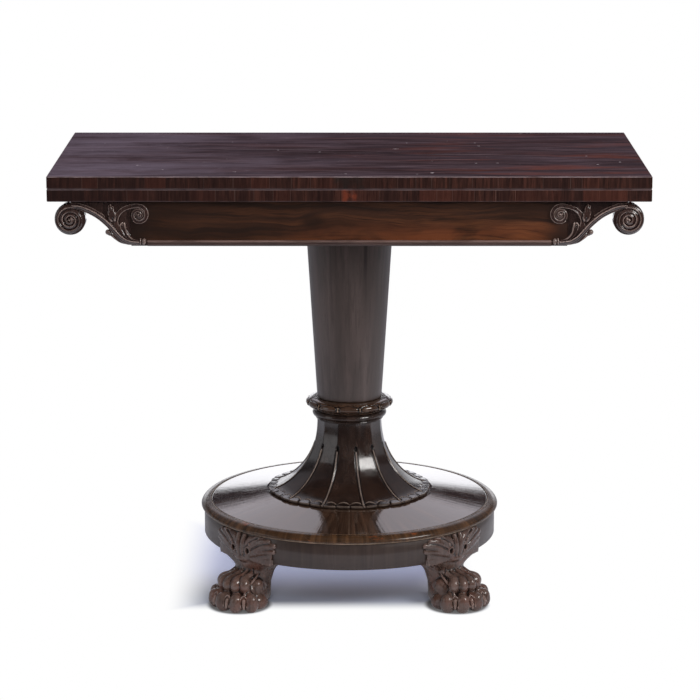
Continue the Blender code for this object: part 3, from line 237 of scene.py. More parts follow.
class Clay:
    """A distance field that forms are added to and cut from, then skinned as a mesh.

    A form is the two corners of its box and its distance from a point.
    """

    def __init__(self, low, high, cell):
        self.low = np.array(low, float)
        self.cell = cell
        counts = np.ceil((np.array(high) - self.low) / cell).astype(int) + 1
        self.axes = [start + cell * np.arange(count) for start, count in zip(self.low, counts)]
        self.field = np.full(counts, FAR, np.float32)

    def add(self, form, soft=0.0, sign=1.0):
        """Joins a form on, rounded by soft where it meets the rest; a sign of -1 cuts it away."""
        low, high, distance = form
        reach = soft + 2.0 * self.cell
        cuts = []
        for axis, a, b in zip(self.axes, low, high):
            first = max(int(np.searchsorted(axis, a - reach)) - 1, 0)
            last = min(int(np.searchsorted(axis, b + reach)) + 1, len(axis))
            cuts.append(slice(first, max(last, first)))
        cuts = tuple(cuts)
        if self.field[cuts].size:
            place = np.ix_(*(axis[cut] for axis, cut in zip(self.axes, cuts)))
            self.field[cuts] = sign * smooth_min(sign * self.field[cuts], distance(*place), soft)

    def cut(self, form, soft=0.0):
        self.add(form, soft, -1.0)

    def keep(self, distance):
        """Cuts away all that lies outside a form."""
        self.field = np.maximum(self.field, distance(*np.ix_(*self.axes))).astype(np.float32)

    def skin(self, name):
        """The zero surface as quads, with one corner in each cell that it crosses."""
        cells = np.array(self.field.shape) - 1
        total = np.zeros((int(np.prod(cells)), 3))
        hits = np.zeros(len(total), np.int32)
        quads = []
        for axis in range(3):
            a, b = np.delete(self.field, -1, axis), np.delete(self.field, 0, axis)
            spots = np.argwhere((a < 0.0) != (b < 0.0))
            sides = [(axis + 1) % 3, (axis + 2) % 3]
            spots = spots[np.all((spots[:, sides] > 0) & (spots[:, sides] < cells[sides]), axis=1)]
            at = tuple(spots.T)
            points = spots.astype(float)
            points[:, axis] += a[at] / (a[at] - b[at])
            around = []
            for step in ((-1, -1), (0, -1), (0, 0), (-1, 0)):
                cell = spots.copy()
                cell[:, sides] += step
                index = np.ravel_multi_index(tuple(cell.T), tuple(cells))
                np.add.at(total, index, points)
                np.add.at(hits, index, 1)
                around.append(index)
            quad = np.stack(around, axis=1)
            flip = b[at] < 0.0
            quad[flip] = quad[flip][:, ::-1]
            quads.append(quad)
        used = np.flatnonzero(hits)
        place = np.zeros(len(hits), np.int64)
        place[used] = np.arange(len(used))
        corners = self.low + self.cell * total[used] / hits[used][:, None]
        return mesh_of(name, corners, place[np.concatenate(quads)])


def mesh_of(name, corners, faces):
    """A smooth mesh of equal-sided faces from arrays."""
    mesh = bpy.data.meshes.new(name)
    mesh.vertices.add(len(corners))
    mesh.vertices.foreach_set("co", (MM * np.asarray(corners)).astype(np.float32).ravel())
    mesh.loops.add(faces.size)
    mesh.loops.foreach_set("vertex_index", faces.astype(np.int32).ravel())
    mesh.polygons.add(len(faces))
    mesh.polygons.foreach_set("loop_start", np.arange(0, faces.size, faces.shape[1], dtype=np.int32))
    mesh.update(calc_edges=True)
    mesh.validate()
    mesh.shade_smooth()
    return mesh


def ellipsoid(centre, radii, fan=0.0, tilt=0.0):
    """Turned by tilt degrees about Y and then by fan degrees about Z."""
    c = np.array(centre, float)
    r = np.array(radii, float)
    m = np.array(Euler((0.0, math.radians(tilt), math.radians(fan))).to_matrix())
    half = np.sqrt(((m * r) ** 2).sum(axis=1))

    def distance(x, y, z):
        p = (x - c[0], y - c[1], z - c[2])
        own = [m[0, i] * p[0] + m[1, i] * p[1] + m[2, i] * p[2] for i in range(3)]
        near = np.sqrt(sum((q / s) ** 2 for q, s in zip(own, r)))
        slope = np.sqrt(sum((q / s**2) ** 2 for q, s in zip(own, r)))
        return near * (near - 1.0) / np.maximum(slope, 1e-9)

    return c - half, c + half, distance


def strand(points, radii):
    """A round tapered rod through the points."""
    pts = np.array(points, float)
    rad = np.broadcast_to(np.array(radii, float), len(pts))

    def distance(x, y, z):
        best = FAR
        for a, b, ra, rb in zip(pts[:-1], pts[1:], rad[:-1], rad[1:]):
            d = b - a
            p = (x - a[0], y - a[1], z - a[2])
            t = (p[0] * d[0] + p[1] * d[1] + p[2] * d[2]) / max(d @ d, 1e-6)
            t = np.clip(t, 0.0, 1.0)
            gap = sum((p[i] - t * d[i]) ** 2 for i in range(3))
            best = np.minimum(best, np.sqrt(gap) - (ra + (rb - ra) * t))
        return best

    return pts.min(axis=0) - rad.max(), pts.max(axis=0) + rad.max(), distance


def joined(forms, soft):
    """Several forms as one, rounded into each other."""
    low = np.min([form[0] for form in forms], axis=0) - soft
    high = np.max([form[1] for form in forms], axis=0) + soft

    def distance(x, y, z):
        best = FAR
        for form in forms:
            best = smooth_min(best, form[2](x, y, z), soft)
        return best

    return low, high, distance


def through(points, count):
    """A smooth curve of count points through a few."""
    pts = np.array(points, float)
    ends = np.vstack([2 * pts[0] - pts[1], pts, 2 * pts[-1] - pts[-2]])
    at = np.linspace(0.0, len(pts) - 1.0 - 1e-9, count)
    i = at.astype(int)
    t = (at - i)[:, None]
    a, b, c, d = (ends[i + k] for k in range(4))
    return 0.5 * (2 * b + (c - a) * t + (2 * a - 5 * b + 4 * c - d) * t**2 + (3 * b - a - 3 * c + d) * t**3)


def bell(value, width):
    return np.exp(-((value / width) ** 2))


def ease(value):
    return np.clip(value, 0.0, 1.0)


# Pieces
def show(name, mesh, node, turn=0.0):
    """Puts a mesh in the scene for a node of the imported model, turned by degrees about Z."""
    obj = bpy.data.objects.new(name, mesh)
    obj.rotation_euler.z = math.radians(turn)
    bpy.context.scene.collection.objects.link(obj)
    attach(obj, "pedestal")
    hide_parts(node)


def crease(mesh, degrees):
    mesh.set_sharp_from_angle(angle=math.radians(degrees))
    return mesh


def places(mesh):
    """The corners of a mesh, in metres."""
    place = np.empty(len(mesh.vertices) * 3, np.float32)
    mesh.vertices.foreach_get("co", place)
    return place.reshape(-1, 3)


def keep_relief(mesh, proud):
    """Keeps, at each corner, how far the carving stands proud there."""
    values = np.asarray(proud, np.float32).ravel()
    mesh.attributes.new("relief", "FLOAT", "POINT").data.foreach_set("value", values)
    return mesh


def relief(mesh, rounds):
    """How far each corner stands proud of a smoothed copy."""
    place = places(mesh).astype(float)
    count = len(place)
    normal = np.empty(count * 3, np.float32)
    mesh.vertex_normals.foreach_get("vector", normal)
    ends = np.empty(len(mesh.edges) * 2, np.int32)
    mesh.edges.foreach_get("vertices", ends)
    a, b = ends.reshape(-1, 2).T
    links = np.maximum(np.bincount(a, minlength=count) + np.bincount(b, minlength=count), 1)
    soft = place.copy()
    for _ in range(rounds):
        total = np.zeros_like(soft)
        for axis in range(3):
            total[:, axis] += np.bincount(a, soft[b, axis], count) + np.bincount(b, soft[a, axis], count)
        soft = 0.3 * soft + 0.7 * total / links[:, None]
    return ((place - soft) * normal.reshape(-1, 3)).sum(axis=1) / MM


def lathe(name, r, z):
    """Closed rows turned round Z, from the radius and height of each point at each step round."""
    steps, count = r.shape
    angles = (math.tau * np.arange(steps) / steps)[:, None]
    corners = np.stack([r * np.cos(angles), r * np.sin(angles), z], axis=2).reshape(-1, 3)
    i, j = np.ogrid[:steps, :count]
    near, far, after = i * count, (i + 1) % steps * count, (j + 1) % count
    faces = np.stack([near + j, near + after, far + after, far + j], axis=2).reshape(-1, 4)
    return mesh_of(name, corners, faces)


def turned(name, profile, sharp, node):
    """A plain turned piece, from a closed profile of radius and height, top to bottom outside."""
    r, z = (np.tile(part, (TURN_STEPS, 1)) for part in np.array(profile, float).T)
    show(name, crease(lathe(name, r, z), sharp), node)


# Turned pieces
def column():
    top, foot = Z_COLUMN_TOP - SEAT_GAP, Z_COLLAR_TOP + SEAT_GAP
    rows = np.linspace(0.0, 1.0, 25)
    outside = [(COLUMN_TOP_RADIUS + (COLUMN_FOOT_RADIUS - COLUMN_TOP_RADIUS) * t, top + (foot - top) * t)
               for t in rows]
    inside = [(TENON_RADIUS - 1, foot), (TENON_RADIUS - 1, top)]
    turned("column_turned", outside + inside, 40, "column_shaft")


def ring():
    """Half-round band with a small fillet under it."""
    height = Z_RING_TOP - Z_RING
    outside = [(RING_RADIUS + out, Z_RING + height * up) for out, up in through(RING_PLAN, 49)]
    inside = [(TENON_RADIUS, Z_RING), (TENON_RADIUS, Z_RING_TOP)]
    turned("neck_ring_turned", outside + inside, 50, "neck_ring")


def plinth():
    crown = SOCLE_RADIUS + 2
    edge = BOARD_RADIUS - BOARD_EASE
    board = [(SOCLE_RADIUS - 20, Z_BOARD_TOP), (crown - 0.5, Z_BOARD_TOP)]
    board += [(crown + (edge - crown) * t, Z_BOARD_TOP - (Z_BOARD_TOP - BOARD_EDGE_TOP) * t)
              for t in (0.0, 0.006, 0.25, 0.5, 0.75, 0.99, 1.0)]
    board += [(edge + BOARD_EASE * math.cos(a), BOARD_EDGE_TOP - BOARD_EASE + BOARD_EASE * math.sin(a))
              for a in np.radians(np.linspace(75, 0, 6))]
    board += [(BOARD_RADIUS, Z_RIM), (TENON_RADIUS, Z_RIM), (TENON_RADIUS, Z_BOARD_TOP)]
    turned("plinth_board_turned", board, 40, "plinth_top_board")

    inner = BOARD_RADIUS + SEAT_GAP
    wide, tall = RIM_RADIUS - inner, Z_RIM_TOP - Z_RIM
    rim = [(inner + wide * out, Z_RIM + tall * up) for out, up in through(RIM_PLAN, 61)]
    turned("plinth_rim_turned", rim + [(inner, Z_RIM)], 40, "plinth_rim_moulding")

    inner = CORE_RADIUS + SEAT_GAP
    eased = DRUM_RADIUS - BAND_EASE
    band = [(inner, Z_DRUM_TOP), (eased, Z_DRUM_TOP), (DRUM_RADIUS, Z_DRUM_TOP - BAND_EASE),
            (DRUM_RADIUS, Z_DRUM + BAND_EASE), (eased, Z_DRUM), (inner, Z_DRUM)]
    turned("plinth_band_turned", band, 50, "plinth_side_band")


def slope_and_run(out, high):
    """Direction of a profile at each point, and the length of it up to there."""
    along = np.gradient(np.stack([out, high]), axis=1)
    run = np.concatenate([[0.0], np.cumsum(np.hypot(np.diff(out), np.diff(high)))])
    return along / np.linalg.norm(along, axis=0), run


def carved_ring(name, r, z, marks, ends):
    """Carved rows closed by the hole of the tenon, between its two ends."""
    hole = np.ones((len(r), 2))
    r = np.concatenate([r, TENON_RADIUS * hole], axis=1)
    z = np.concatenate([z, hole * ends], axis=1)
    return keep_relief(lathe(name, r, z), np.concatenate([marks, 0.0 * hole], axis=1))


def socle():
    """Flat panels with raised ridges between them, eyes above and a scalloped edge."""
    panel = math.tau / SOCLE_PANELS
    start = math.radians(SOCLE_TURN)
    rows = 1.0 - (1.0 - np.linspace(0.0, 1.0, 118)) ** 1.35
    out = SOCLE_TOP_RADIUS + (SOCLE_RADIUS - SOCLE_TOP_RADIUS) * (1.0 - (1.0 - rows**2.2) ** 0.62)
    high = Z_SOCLE_TOP - (Z_SOCLE_TOP - Z_SOCLE - SOCLE_LIP) * rows
    along, run = slope_and_run(out, high)
    left = run[-1] - run
    steps = SOCLE_PANELS * 50
    angles = math.tau * np.arange(steps)[:, None] / steps
    off = (angles - start) % panel
    off = np.minimum(off, panel - off)
    side = out * np.sin(off)

    below = ease((SOCLE_EYE_Z - 3 - high) / 4)
    ridge = 1.5 * below * bell(side, 1.0)
    gutter = -0.7 * below * bell(side - 2.5, 1.0)
    joint = -0.3 * (1.0 - below) * bell(side, 0.6)
    eye = -5.0 / (1.0 + np.exp((np.hypot(side, (high - SOCLE_EYE_Z) * 0.75) - 2.3) / 0.3))
    across = (angles - start) / panel * SOCLE_LOBES % 1.0 - 0.5
    arch = SOCLE_ARCH * np.sqrt(ease(1.0 - (1.92 * across) ** 2))
    fringe = left < SOCLE_ARCH + 3
    lobe = 1.4 * np.sqrt(ease(1.0 - (left / np.maximum(arch, 0.01)) ** 2)) * (left < arch)
    groove = -1.2 * bell(left - arch, 0.9) * fringe
    split = -1.3 * bell(np.abs(across) - 0.5, 0.035) * ease((8 - left) / 2)
    notch = -2.6 * np.abs(2.0 * across) ** 5 * np.exp(-left / 3.5)

    flat = math.cos(panel / 2) / np.cos(panel / 2 - off)
    share = 1.0 - 0.45 * rows**3
    push = ridge + gutter + joint + eye + lobe + groove + split
    r = out * (share * flat + (1.0 - share) * 0.992) - push * along[1] + notch
    z = high + push * along[0]
    lip = r[:, -1:]
    level = Z_SOCLE + 0.0 * lip
    r = np.concatenate([r, lip, lip - SOCLE_LIP_EASE], axis=1)
    z = np.concatenate([z, level + SOCLE_LIP_EASE, level], axis=1)
    # Rubbed wear and painted highlight: pale arcs above each arch of the fringe and along the lip; painted
    # shade inside each arch
    rubbed_and_highlight = bell(left - arch - 1.9, 1.2) * fringe + 0.6 * bell(left, 1.0)
    shade = -0.3 * (left < arch - 1) * (left > 2)
    # Marks below zero, in the eyes, grooves and splits, become painted shade; marks above zero become
    # rubbed wear and painted highlight
    marks = ridge + gutter + joint + eye + rubbed_and_highlight + shade + 0.7 * groove + 0.8 * split
    marks = np.concatenate([marks, np.full((steps, 2), 0.3)], axis=1)
    mesh = carved_ring("socle", r, z, marks, (Z_SOCLE, Z_SOCLE_TOP))
    show("socle_carved", crease(mesh, 60), "socle")


def collar():
    """A row of framed ovals with buds between them."""
    height = Z_COLLAR_TOP - Z_COLLAR
    plan = through(COLLAR_PLAN, 64)
    out, high = COLLAR_RADIUS * plan[:, 0], Z_COLLAR + height * plan[:, 1]
    along, run = slope_and_run(out, high)
    steps = COLLAR_OVALS * 52
    share = math.tau / COLLAR_OVALS
    angles = math.tau * np.arange(steps)[:, None] / steps
    start = math.radians(-90.0 + COLLAR_TURN)
    side = COLLAR_RADIUS * ((angles - start + share / 2) % share - share / 2)
    up = np.interp(Z_COLLAR + height * 0.57, high[::-1], run[::-1]) - run

    oval = np.hypot(side / COLLAR_OVAL[0], up / COLLAR_OVAL[1])
    dome = 1.4 * ease(1.0 - oval**2) ** 0.8
    valley = -0.9 * bell(oval - 1.02, 0.07)
    between = np.abs(side) - share * COLLAR_RADIUS / 2
    bud = np.hypot(between / COLLAR_BUD[0], (up + 0.4) / COLLAR_BUD[1])
    bud = 2.6 * ease(1.0 - bud**2) ** 0.5
    gap = -bell(between, 3.4) * ease((10 - np.abs(up)) / 3)
    within = ease((high - Z_COLLAR - 4.5) / 3) * ease((Z_COLLAR_TOP - high) / 2)
    push = (dome + valley + bud + gap) * within - 1.2
    r = out - push * along[1]
    z = np.clip(high + push * along[0], Z_COLLAR, Z_COLLAR_TOP)
    # Pale buds as rubbed wear and painted highlight, and painted shade in the valleys and gaps round the
    # ovals
    marks = 0.6 * bud + 1.4 * valley + 0.6 * gap
    mesh = carved_ring("collar", r, z, marks, (Z_COLLAR, Z_COLLAR_TOP))
    show("collar_carved", crease(mesh, 65), "carved_collar")


# Paw feet
def on_drum(s, h, n):
    """A point s along the side of the plinth from the foot's middle, h above its edge and n proud of it."""
    turn = s / DRUM_RADIUS
    out = DRUM_RADIUS + n
    return out * math.cos(turn), out * math.sin(turn), Z_DRUM + h


def off_drum(a, t, z):
    """The way back from a point: along the side, above its edge and proud of it."""
    return DRUM_RADIUS * np.arctan2(t, a), z - Z_DRUM, np.hypot(a, t) - DRUM_RADIUS


def on_leaf(path, side, radii, proud):
    """A rod along a path of the leaf, on the side given by 1 or -1."""
    return strand([on_drum(side * s, h, n) for (s, h), n in zip(path, proud)], radii)


def wing_rib(tip, side, groove=False):
    """One rib of a side wing of the leaf, arching over to its tip, or a groove between two."""
    path = through((WING_ROOT, (0.30 * tip[0], 0.45 * tip[1]), (0.66 * tip[0], 0.85 * tip[1]), tip), 9)
    share = np.linspace(0.0, 1.0, 9)
    swell = np.sin(math.pi * (0.10 + 0.76 * share))
    if groove:
        return on_leaf(path[2:], side, 0.9 + 1.3 * share[2:], 2.8 + 5.7 * swell[2:])
    return on_leaf(path, side, 3.4 + 4.2 * swell, 1.4 * swell - 0.4)


def wing_ground(side):
    """The blade of a side wing under its ribs, thinner to its edge."""
    tips = np.array(WING_TIPS[::-1]) - WING_ROOT
    turns = np.concatenate([(-0.20, -0.12), np.arctan2(tips[:, 1], tips[:, 0]), (1.25, 1.35)])
    reach = np.concatenate([(0, 54), 0.95 * np.hypot(tips[:, 0], tips[:, 1]), (34, 0)])

    def distance(a, t, z):
        s, h, n = off_drum(a, t, z)
        s = side * s - WING_ROOT[0]
        h = h - WING_ROOT[1]
        out = np.hypot(s, h)
        dome = 3.2 + 3.6 * ease(1.0 - (out / 68) ** 2)
        return np.maximum(0.8 * (out - np.interp(np.arctan2(h, s), turns, reach)), n - dome)

    return (220, -78, Z_DRUM - 4), (270, 78, Z_DRUM + 50), distance


def knee():
    """A rounded block along the lower edge of the plinth, under the leaf."""
    half, edge = (61, 12, 4.6), 3

    def distance(a, t, z):
        s, h, n = off_drum(a, t, z)
        q = [np.abs(p) - (size - edge) for p, size in zip((s, h - 10.5, n + 0.5), half)]
        outer = np.sqrt(sum(np.maximum(p, 0.0) ** 2 for p in q))
        return outer + np.minimum(np.maximum(np.maximum(q[0], q[1]), q[2]), 0.0) - edge

    return (220, -66, Z_DRUM - 4), (262, 66, Z_DRUM + 28), distance


def ankle():
    rows = np.array(ANKLE_ROWS, float)

    def distance(a, t, z):
        centre, deep, wide, power = (np.interp(z, rows[:, 0], rows[:, k]) for k in (1, 2, 3, 4))
        bow = ease((z - 50) / 20)
        out = (1.0 - bow) * a + bow * np.hypot(a, t)
        near = (np.abs((out - centre) / deep) ** power + np.abs(t / wide) ** power) ** (1.0 / power)
        return (near - 1.0) * deep * 0.6

    low, high = rows.min(axis=0), rows.max(axis=0)
    return (low[1] - high[2], -high[3], low[0]), (high[1] + high[2], high[3], high[0]), distance


def from_paw(fan, r, z, aside=0.0):
    """A point r from the middle of the paw and aside of that line, fan degrees from straight ahead."""
    f = math.radians(fan)
    return PAW_MIDDLE + r * math.cos(f) - aside * math.sin(f), r * math.sin(f) + aside * math.cos(f), z


def toe(fan):
    """Pad and knuckle; the knuckles stand closer together than the pads."""
    inner = fan * KNUCKLE_CLOSE
    middle = (fan + inner) / 2
    pad = ellipsoid(from_paw(fan, 43.6, 13.5), (15, 13, 16.5), fan)
    tip = ellipsoid(from_paw(fan, 47.6, 21.5), (10, 9.4, 9), fan, 30)
    knuckle = ellipsoid(from_paw(inner, 28, 42), (15.5, 10.4, 14.2), inner, 24)
    line = (inner, 12, 48), (inner, 26, 39), (middle, 34.5, 28), (fan, 43, 20)
    bone = strand([from_paw(*point) for point in line], (8, 8.6, 7.2, 9.2))
    return joined([pad, tip, knuckle, bone], 2.2)


def claw(fan):
    """The hollow cut for a claw between two toes, the ring of skin round it and the claw."""
    hollow = ellipsoid(from_paw(fan, 54.8, 16.5), (8, 5.6, 12), fan)
    skin = [from_paw(fan, 52.5 - 4 * math.sin(a), 17.5 + 11 * math.sin(a), 6 * math.cos(a))
            for a in np.radians(np.linspace(-35, 215, 15))]
    line = (47, 23.5), (51, 20.5), (53.8, 14.5), (54.5, 9)
    talon = strand([from_paw(fan, *point) for point in line], (2.9, 3.4, 3, 1.8))
    return hollow, strand(skin, 1.4), talon


def tendon(fan):
    c, s = math.cos(math.radians(fan)), math.sin(math.radians(fan))
    back = 10 * abs(s)
    line = (PAW_MIDDLE + 24 * c, 24 * s, 51.5), (244.5 - back, 24 * s, 64), (249 - back, 18 * s, 79)
    return strand(through(line, 9), np.linspace(4.6, 2.6, 9))


def hair(fan):
    """A groove of hair down the ankle."""
    c, s = math.cos(math.radians(fan)), math.sin(math.radians(fan))
    low = np.array((PAW_MIDDLE - 20 + 30 * c, 36 * s, 40))
    high = np.array((226 + 30 * c, 34 * s, 66))
    middle = (low + high) / 2 + (-3, 0, 1)
    return strand(through((low, middle, high), 7), HAIR_RADII)


def paw_leaf(clay, side):
    """A side wing with its grooves, eye and bead, and half of the middle petal."""
    tips = through(WING_TIPS, 2 * WING_RIBS - 1)
    ragged = [tip * (1.0 if k % 2 else LEAF_NOTCH) for k, tip in enumerate(tips[::2])]
    clay.add(wing_ground(side), 1)
    clay.add(joined([wing_rib(tip, side) for tip in ragged], 1.8), 1.4)
    for tip in tips[1::4]:
        clay.cut(wing_rib(1.03 * tip, side, True), 0.8)
    eye, up = LEAF_EYE
    curl = [(eye + LEAF_CURL[0] * math.cos(a), up + LEAF_CURL[1] * math.sin(a))
            for a in np.radians(np.linspace(-60, 240, 13))]
    clay.add(on_leaf(curl, side, 1.8, np.full(13, 7.4)), 0.8)
    turn = math.degrees(side * eye / DRUM_RADIUS)
    clay.cut(ellipsoid(on_drum(side * eye, up, 7.5), (6.2, 3.8, 4.4), turn), 0.6)
    clay.add(ellipsoid(on_drum(side * LEAF_BEAD[0], LEAF_BEAD[1], 7.2), (3.4, 3, 3.4)), 0.6)
    swell = np.sin(math.pi * np.linspace(0.12, 0.84, 9))
    clay.add(on_leaf(through(PETAL, 9), side, 2.2 + 3 * swell, 1 + 5.8 * swell), 0.6)


def paws():
    top = Z_DRUM_TOP - SEAT_GAP
    clay = Clay((160, -78, -4), (314, 78, top + 4), PAW_CELL)
    clay.add(ankle())
    clay.add(ellipsoid((PAW_MIDDLE - 4, 0, 20), (40, 37, 36)), 6)
    for fan in TOE_FAN:
        clay.add(toe(fan), 2.2)
    for side in SIDES:
        side_knuckle = ellipsoid((PAW_MIDDLE - 7, side * 29.2, 37), (11.5, 8.5, 10.8))
        side_pad = ellipsoid((PAW_MIDDLE - 4, side * 33, 10), (19, 12, 14))
        clay.add(side_knuckle, 3.5)
        clay.add(side_pad, 3)
    for fan in CLAW_FAN:
        hollow, skin, talon = claw(fan)
        clay.cut(hollow, 2)
        clay.add(skin, 0.8)
        clay.add(talon, 0.6)
    for fan in TENDON_FAN:
        clay.add(tendon(fan), 4)
    for fan in HAIR_FAN:
        clay.cut(hair(fan), 1.2)
    for side in SIDES:
        line = through([(PAW_MIDDLE + a, side * t, z) for a, t, z in SHIN_LINE], 17)
        clay.add(strand(line, 1.9), 1.2)
    clay.add(knee(), 4)
    for side in SIDES:
        paw_leaf(clay, side)
    clay.add(ellipsoid(on_drum(0, 1, 3.5), (5.5, 14, 5)), 3)

    def free_of_plinth(a, t, z):
        _, h, n = off_drum(a, t, z)
        return np.maximum(np.maximum(z - top, -z), np.minimum(SEAT_GAP - n, h + SEAT_GAP))

    clay.keep(free_of_plinth)
    mesh = clay.skin("paw")
    keep_relief(mesh, relief(mesh, 22))
    for place, turn in FOOT_TURNS.items():
        show("paw_carved_" + place, mesh, "paw_foot_" + place, turn)


# Scroll brackets; the right one is carved, with u outward, w up and n in front of the face of the frieze
def coil(centre, start, end, first, turns, count):
    """Points of a spiral; turns below zero run clockwise, first is in degrees."""
    t = np.linspace(0.0, 1.0, count + 1)
    angle = math.radians(first) + math.tau * turns * t
    radius = start + (end - start) * t**0.92
    return np.stack([centre[0] + radius * np.cos(angle), centre[1] + radius * np.sin(angle)], axis=1)


def beside(path, offset):
    """The path moved to its left by offset."""
    path = np.array(path)
    along = np.gradient(path, axis=0)
    along /= np.maximum(np.linalg.norm(along, axis=1), 1e-6)[:, None]
    offset = np.broadcast_to(np.array(offset, float), len(path))[:, None]
    return path + offset * np.stack([-along[:, 1], along[:, 0]], axis=1)


def rope(path, radii, proud):
    """A round moulding along a path on the face."""
    u, w = np.transpose(path)
    return strand(np.stack([u, 0.0 * u - np.array(proud), w], axis=1), radii)


def knob(u, w, n, radii):
    return ellipsoid((u, -n, w), radii)


def slab(outline, back, front):
    """A flat piece with this outline."""
    pts = np.array(outline)

    def distance(u, y, w):
        gap = FAR
        inside = np.zeros(np.broadcast(u, w).shape, bool)
        for a, b in zip(pts, np.roll(pts, -1, axis=0)):
            d = b - a
            t = ease(((u - a[0]) * d[0] + (w - a[1]) * d[1]) / (d @ d))
            gap = np.minimum(gap, np.hypot(u - a[0] - t * d[0], w - a[1] - t * d[1]))
            if abs(d[1]) > 1e-6:
                inside ^= ((w >= a[1]) != (w >= b[1])) & (u < a[0] + (w - a[1]) / d[1] * d[0])
        plan = np.where(inside, -gap, gap)
        return np.maximum(plan, np.abs(-y - (back + front) / 2) - (front - back) / 2)

    low, high = pts.min(axis=0), pts.max(axis=0)
    return (low[0], -front, low[1]), (high[0], -back, high[1]), distance


def bracket_mesh():
    top = Z_RAIL_TOP - Z_FRIEZE - 0.6
    inset = VOLUTE_RADIUS - VOLUTE_SHIFT
    eye = (BRACKET_REACH - inset, top - VOLUTE_SHIFT - VOLUTE_RADIUS)
    clay = Clay((-34, -12, -2), (BRACKET_REACH + 5, BRACKET_DEPTH + 3, top + 3), BRACKET_CELL)
    clay.add(slab(GROUND_PLAN, -BRACKET_DEPTH, -0.4))
    disc = coil(eye, VOLUTE_RADIUS - 2.2, VOLUTE_RADIUS - 2.2, 0, 1, 48)[:-1]
    clay.add(slab(disc, -BRACKET_DEPTH, 0.4))

    # Outer volute and the stem that runs into it
    spiral = coil(eye, VOLUTE_RADIUS - VOLUTE_TUBE, 3.5, 104, -VOLUTE_TURNS, 90)
    share = np.linspace(0.0, 1.0, len(spiral))
    clay.add(rope(spiral, VOLUTE_TUBE - 2.3 * share, 2.6 + 1.2 * share), 0.4)
    clay.add(rope(beside(spiral, -1), 1.2, 6.8 - 1.2 * share), 0.6)
    clay.add(knob(*eye, 3, (3, 3.4, 3)), 0.4)
    for depth in (-6, -11, -16):
        clay.add(rope(spiral[:40], 4.6, depth), 3)
    stem = through(STEM_PLAN, 60)
    clay.add(rope(stem, np.linspace(4.6, 4.2, 60), 2), 0.4)
    clay.add(rope(beside(stem[34:], 3.6), 1.7, 3.4), 0.5)
    clay.add(rope(beside(stem, -4.4), 2.1, 2.6), 0.8)
    clay.add(rope(beside(stem, 1), 1.1, 7.8), 0.5)
    for depth in (-7, -14):
        clay.add(rope(beside(stem[8:], -3.6), 3.4, depth), 3)

    # Scroll that turns back on the frieze
    turn_back = coil(SMALL_VOLUTE, SMALL_VOLUTE_RADIUS - 0.4, 2.6, 78, SMALL_VOLUTE_TURNS, 56)
    scroll = np.vstack([through(SCROLL_PLAN, 40), turn_back[1:]])
    share = np.linspace(0.0, 1.0, len(scroll))
    clay.add(rope(scroll, 3.4 - share, 2.2), 0.4)
    clay.add(rope(beside(scroll, 2.8 - share), 1.2 - 0.1 * share, 4.6), 0.4)
    clay.add(rope(beside(scroll[:60], -2.6), 1, 4), 0.4)
    clay.add(knob(*SMALL_VOLUTE, 2.2, (2.6, 3.6, 2.6)), 0.4)

    # Leaf between the two scrolls
    t = np.linspace(0.0, 1.0, len(LEAF_RADII))
    for lean, length in LEAF_FAN:
        bend = np.radians(9.0 + lean * (1.0 - 0.60 * t))
        path = np.stack([np.sin(bend) * length * t, np.cos(bend) * length * t], axis=1) + LEAF_FOOT
        clay.add(rope(path, LEAF_RADII, LEAF_PROUD), 0.2)

    # Husk, berry and tie
    clay.add(rope(through(HUSK_MIDDLE, len(HUSK_RADII)), HUSK_RADII, 0.8), 0.6)
    clay.add(rope(through(HUSK_OUTER, 16), 1.2, 4.6), 0.4)
    clay.add(rope(through(HUSK_INNER, 16), 1.7, 4.2), 0.4)
    clay.add(rope(through(TWIG_PLAN, 12), 2.1, 1.2), 0.6)
    clay.add(knob(37.2, 22.6, 0.6, (4.5, 4.5, 4.5)), 0.5)
    clay.add(knob(34.5, 20, 0.6, (3.4, 3.6, 3.4)), 0.6)
    clay.add(knob(-20.5, 7.4, 2.6, (4, 5, 5.4)), 0.4)
    clay.add(knob(-15.2, 7.4, 2.6, (1.6, 5, 5.8)), 0.4)

    def free_of_frieze(u, y, w):
        level = np.maximum(w - top, BRACKET_FOOT - w)
        return np.maximum(level, np.minimum(SEAT_GAP - u, y + SEAT_GAP))

    clay.keep(free_of_frieze)
    mesh = clay.skin("bracket")
    proud = relief(mesh, 18)
    # Painted shade: the flat ground behind the carving takes some of the dark colour of the hollows
    proud[places(mesh)[:, 1] > -0.9 * MM] = GROUND_PAINTED_SHADE_RELIEF
    return keep_relief(mesh, proud)


def brackets():
    right = bracket_mesh()
    left = right.copy()
    corner = MM * np.array((FRIEZE_END, -FRIEZE_FACE, Z_FRIEZE))
    for name, mesh, side in (("right", right, 1.0), ("left", left, -1.0)):
        place = places(mesh) + corner.astype(np.float32)
        place[:, 0] *= side
        mesh.vertices.foreach_set("co", place.ravel())
        if side < 0.0:
            mesh.flip_normals()
        mesh.update()
        show("bracket_carved_" + name, mesh, "scroll_bracket_front_" + name)


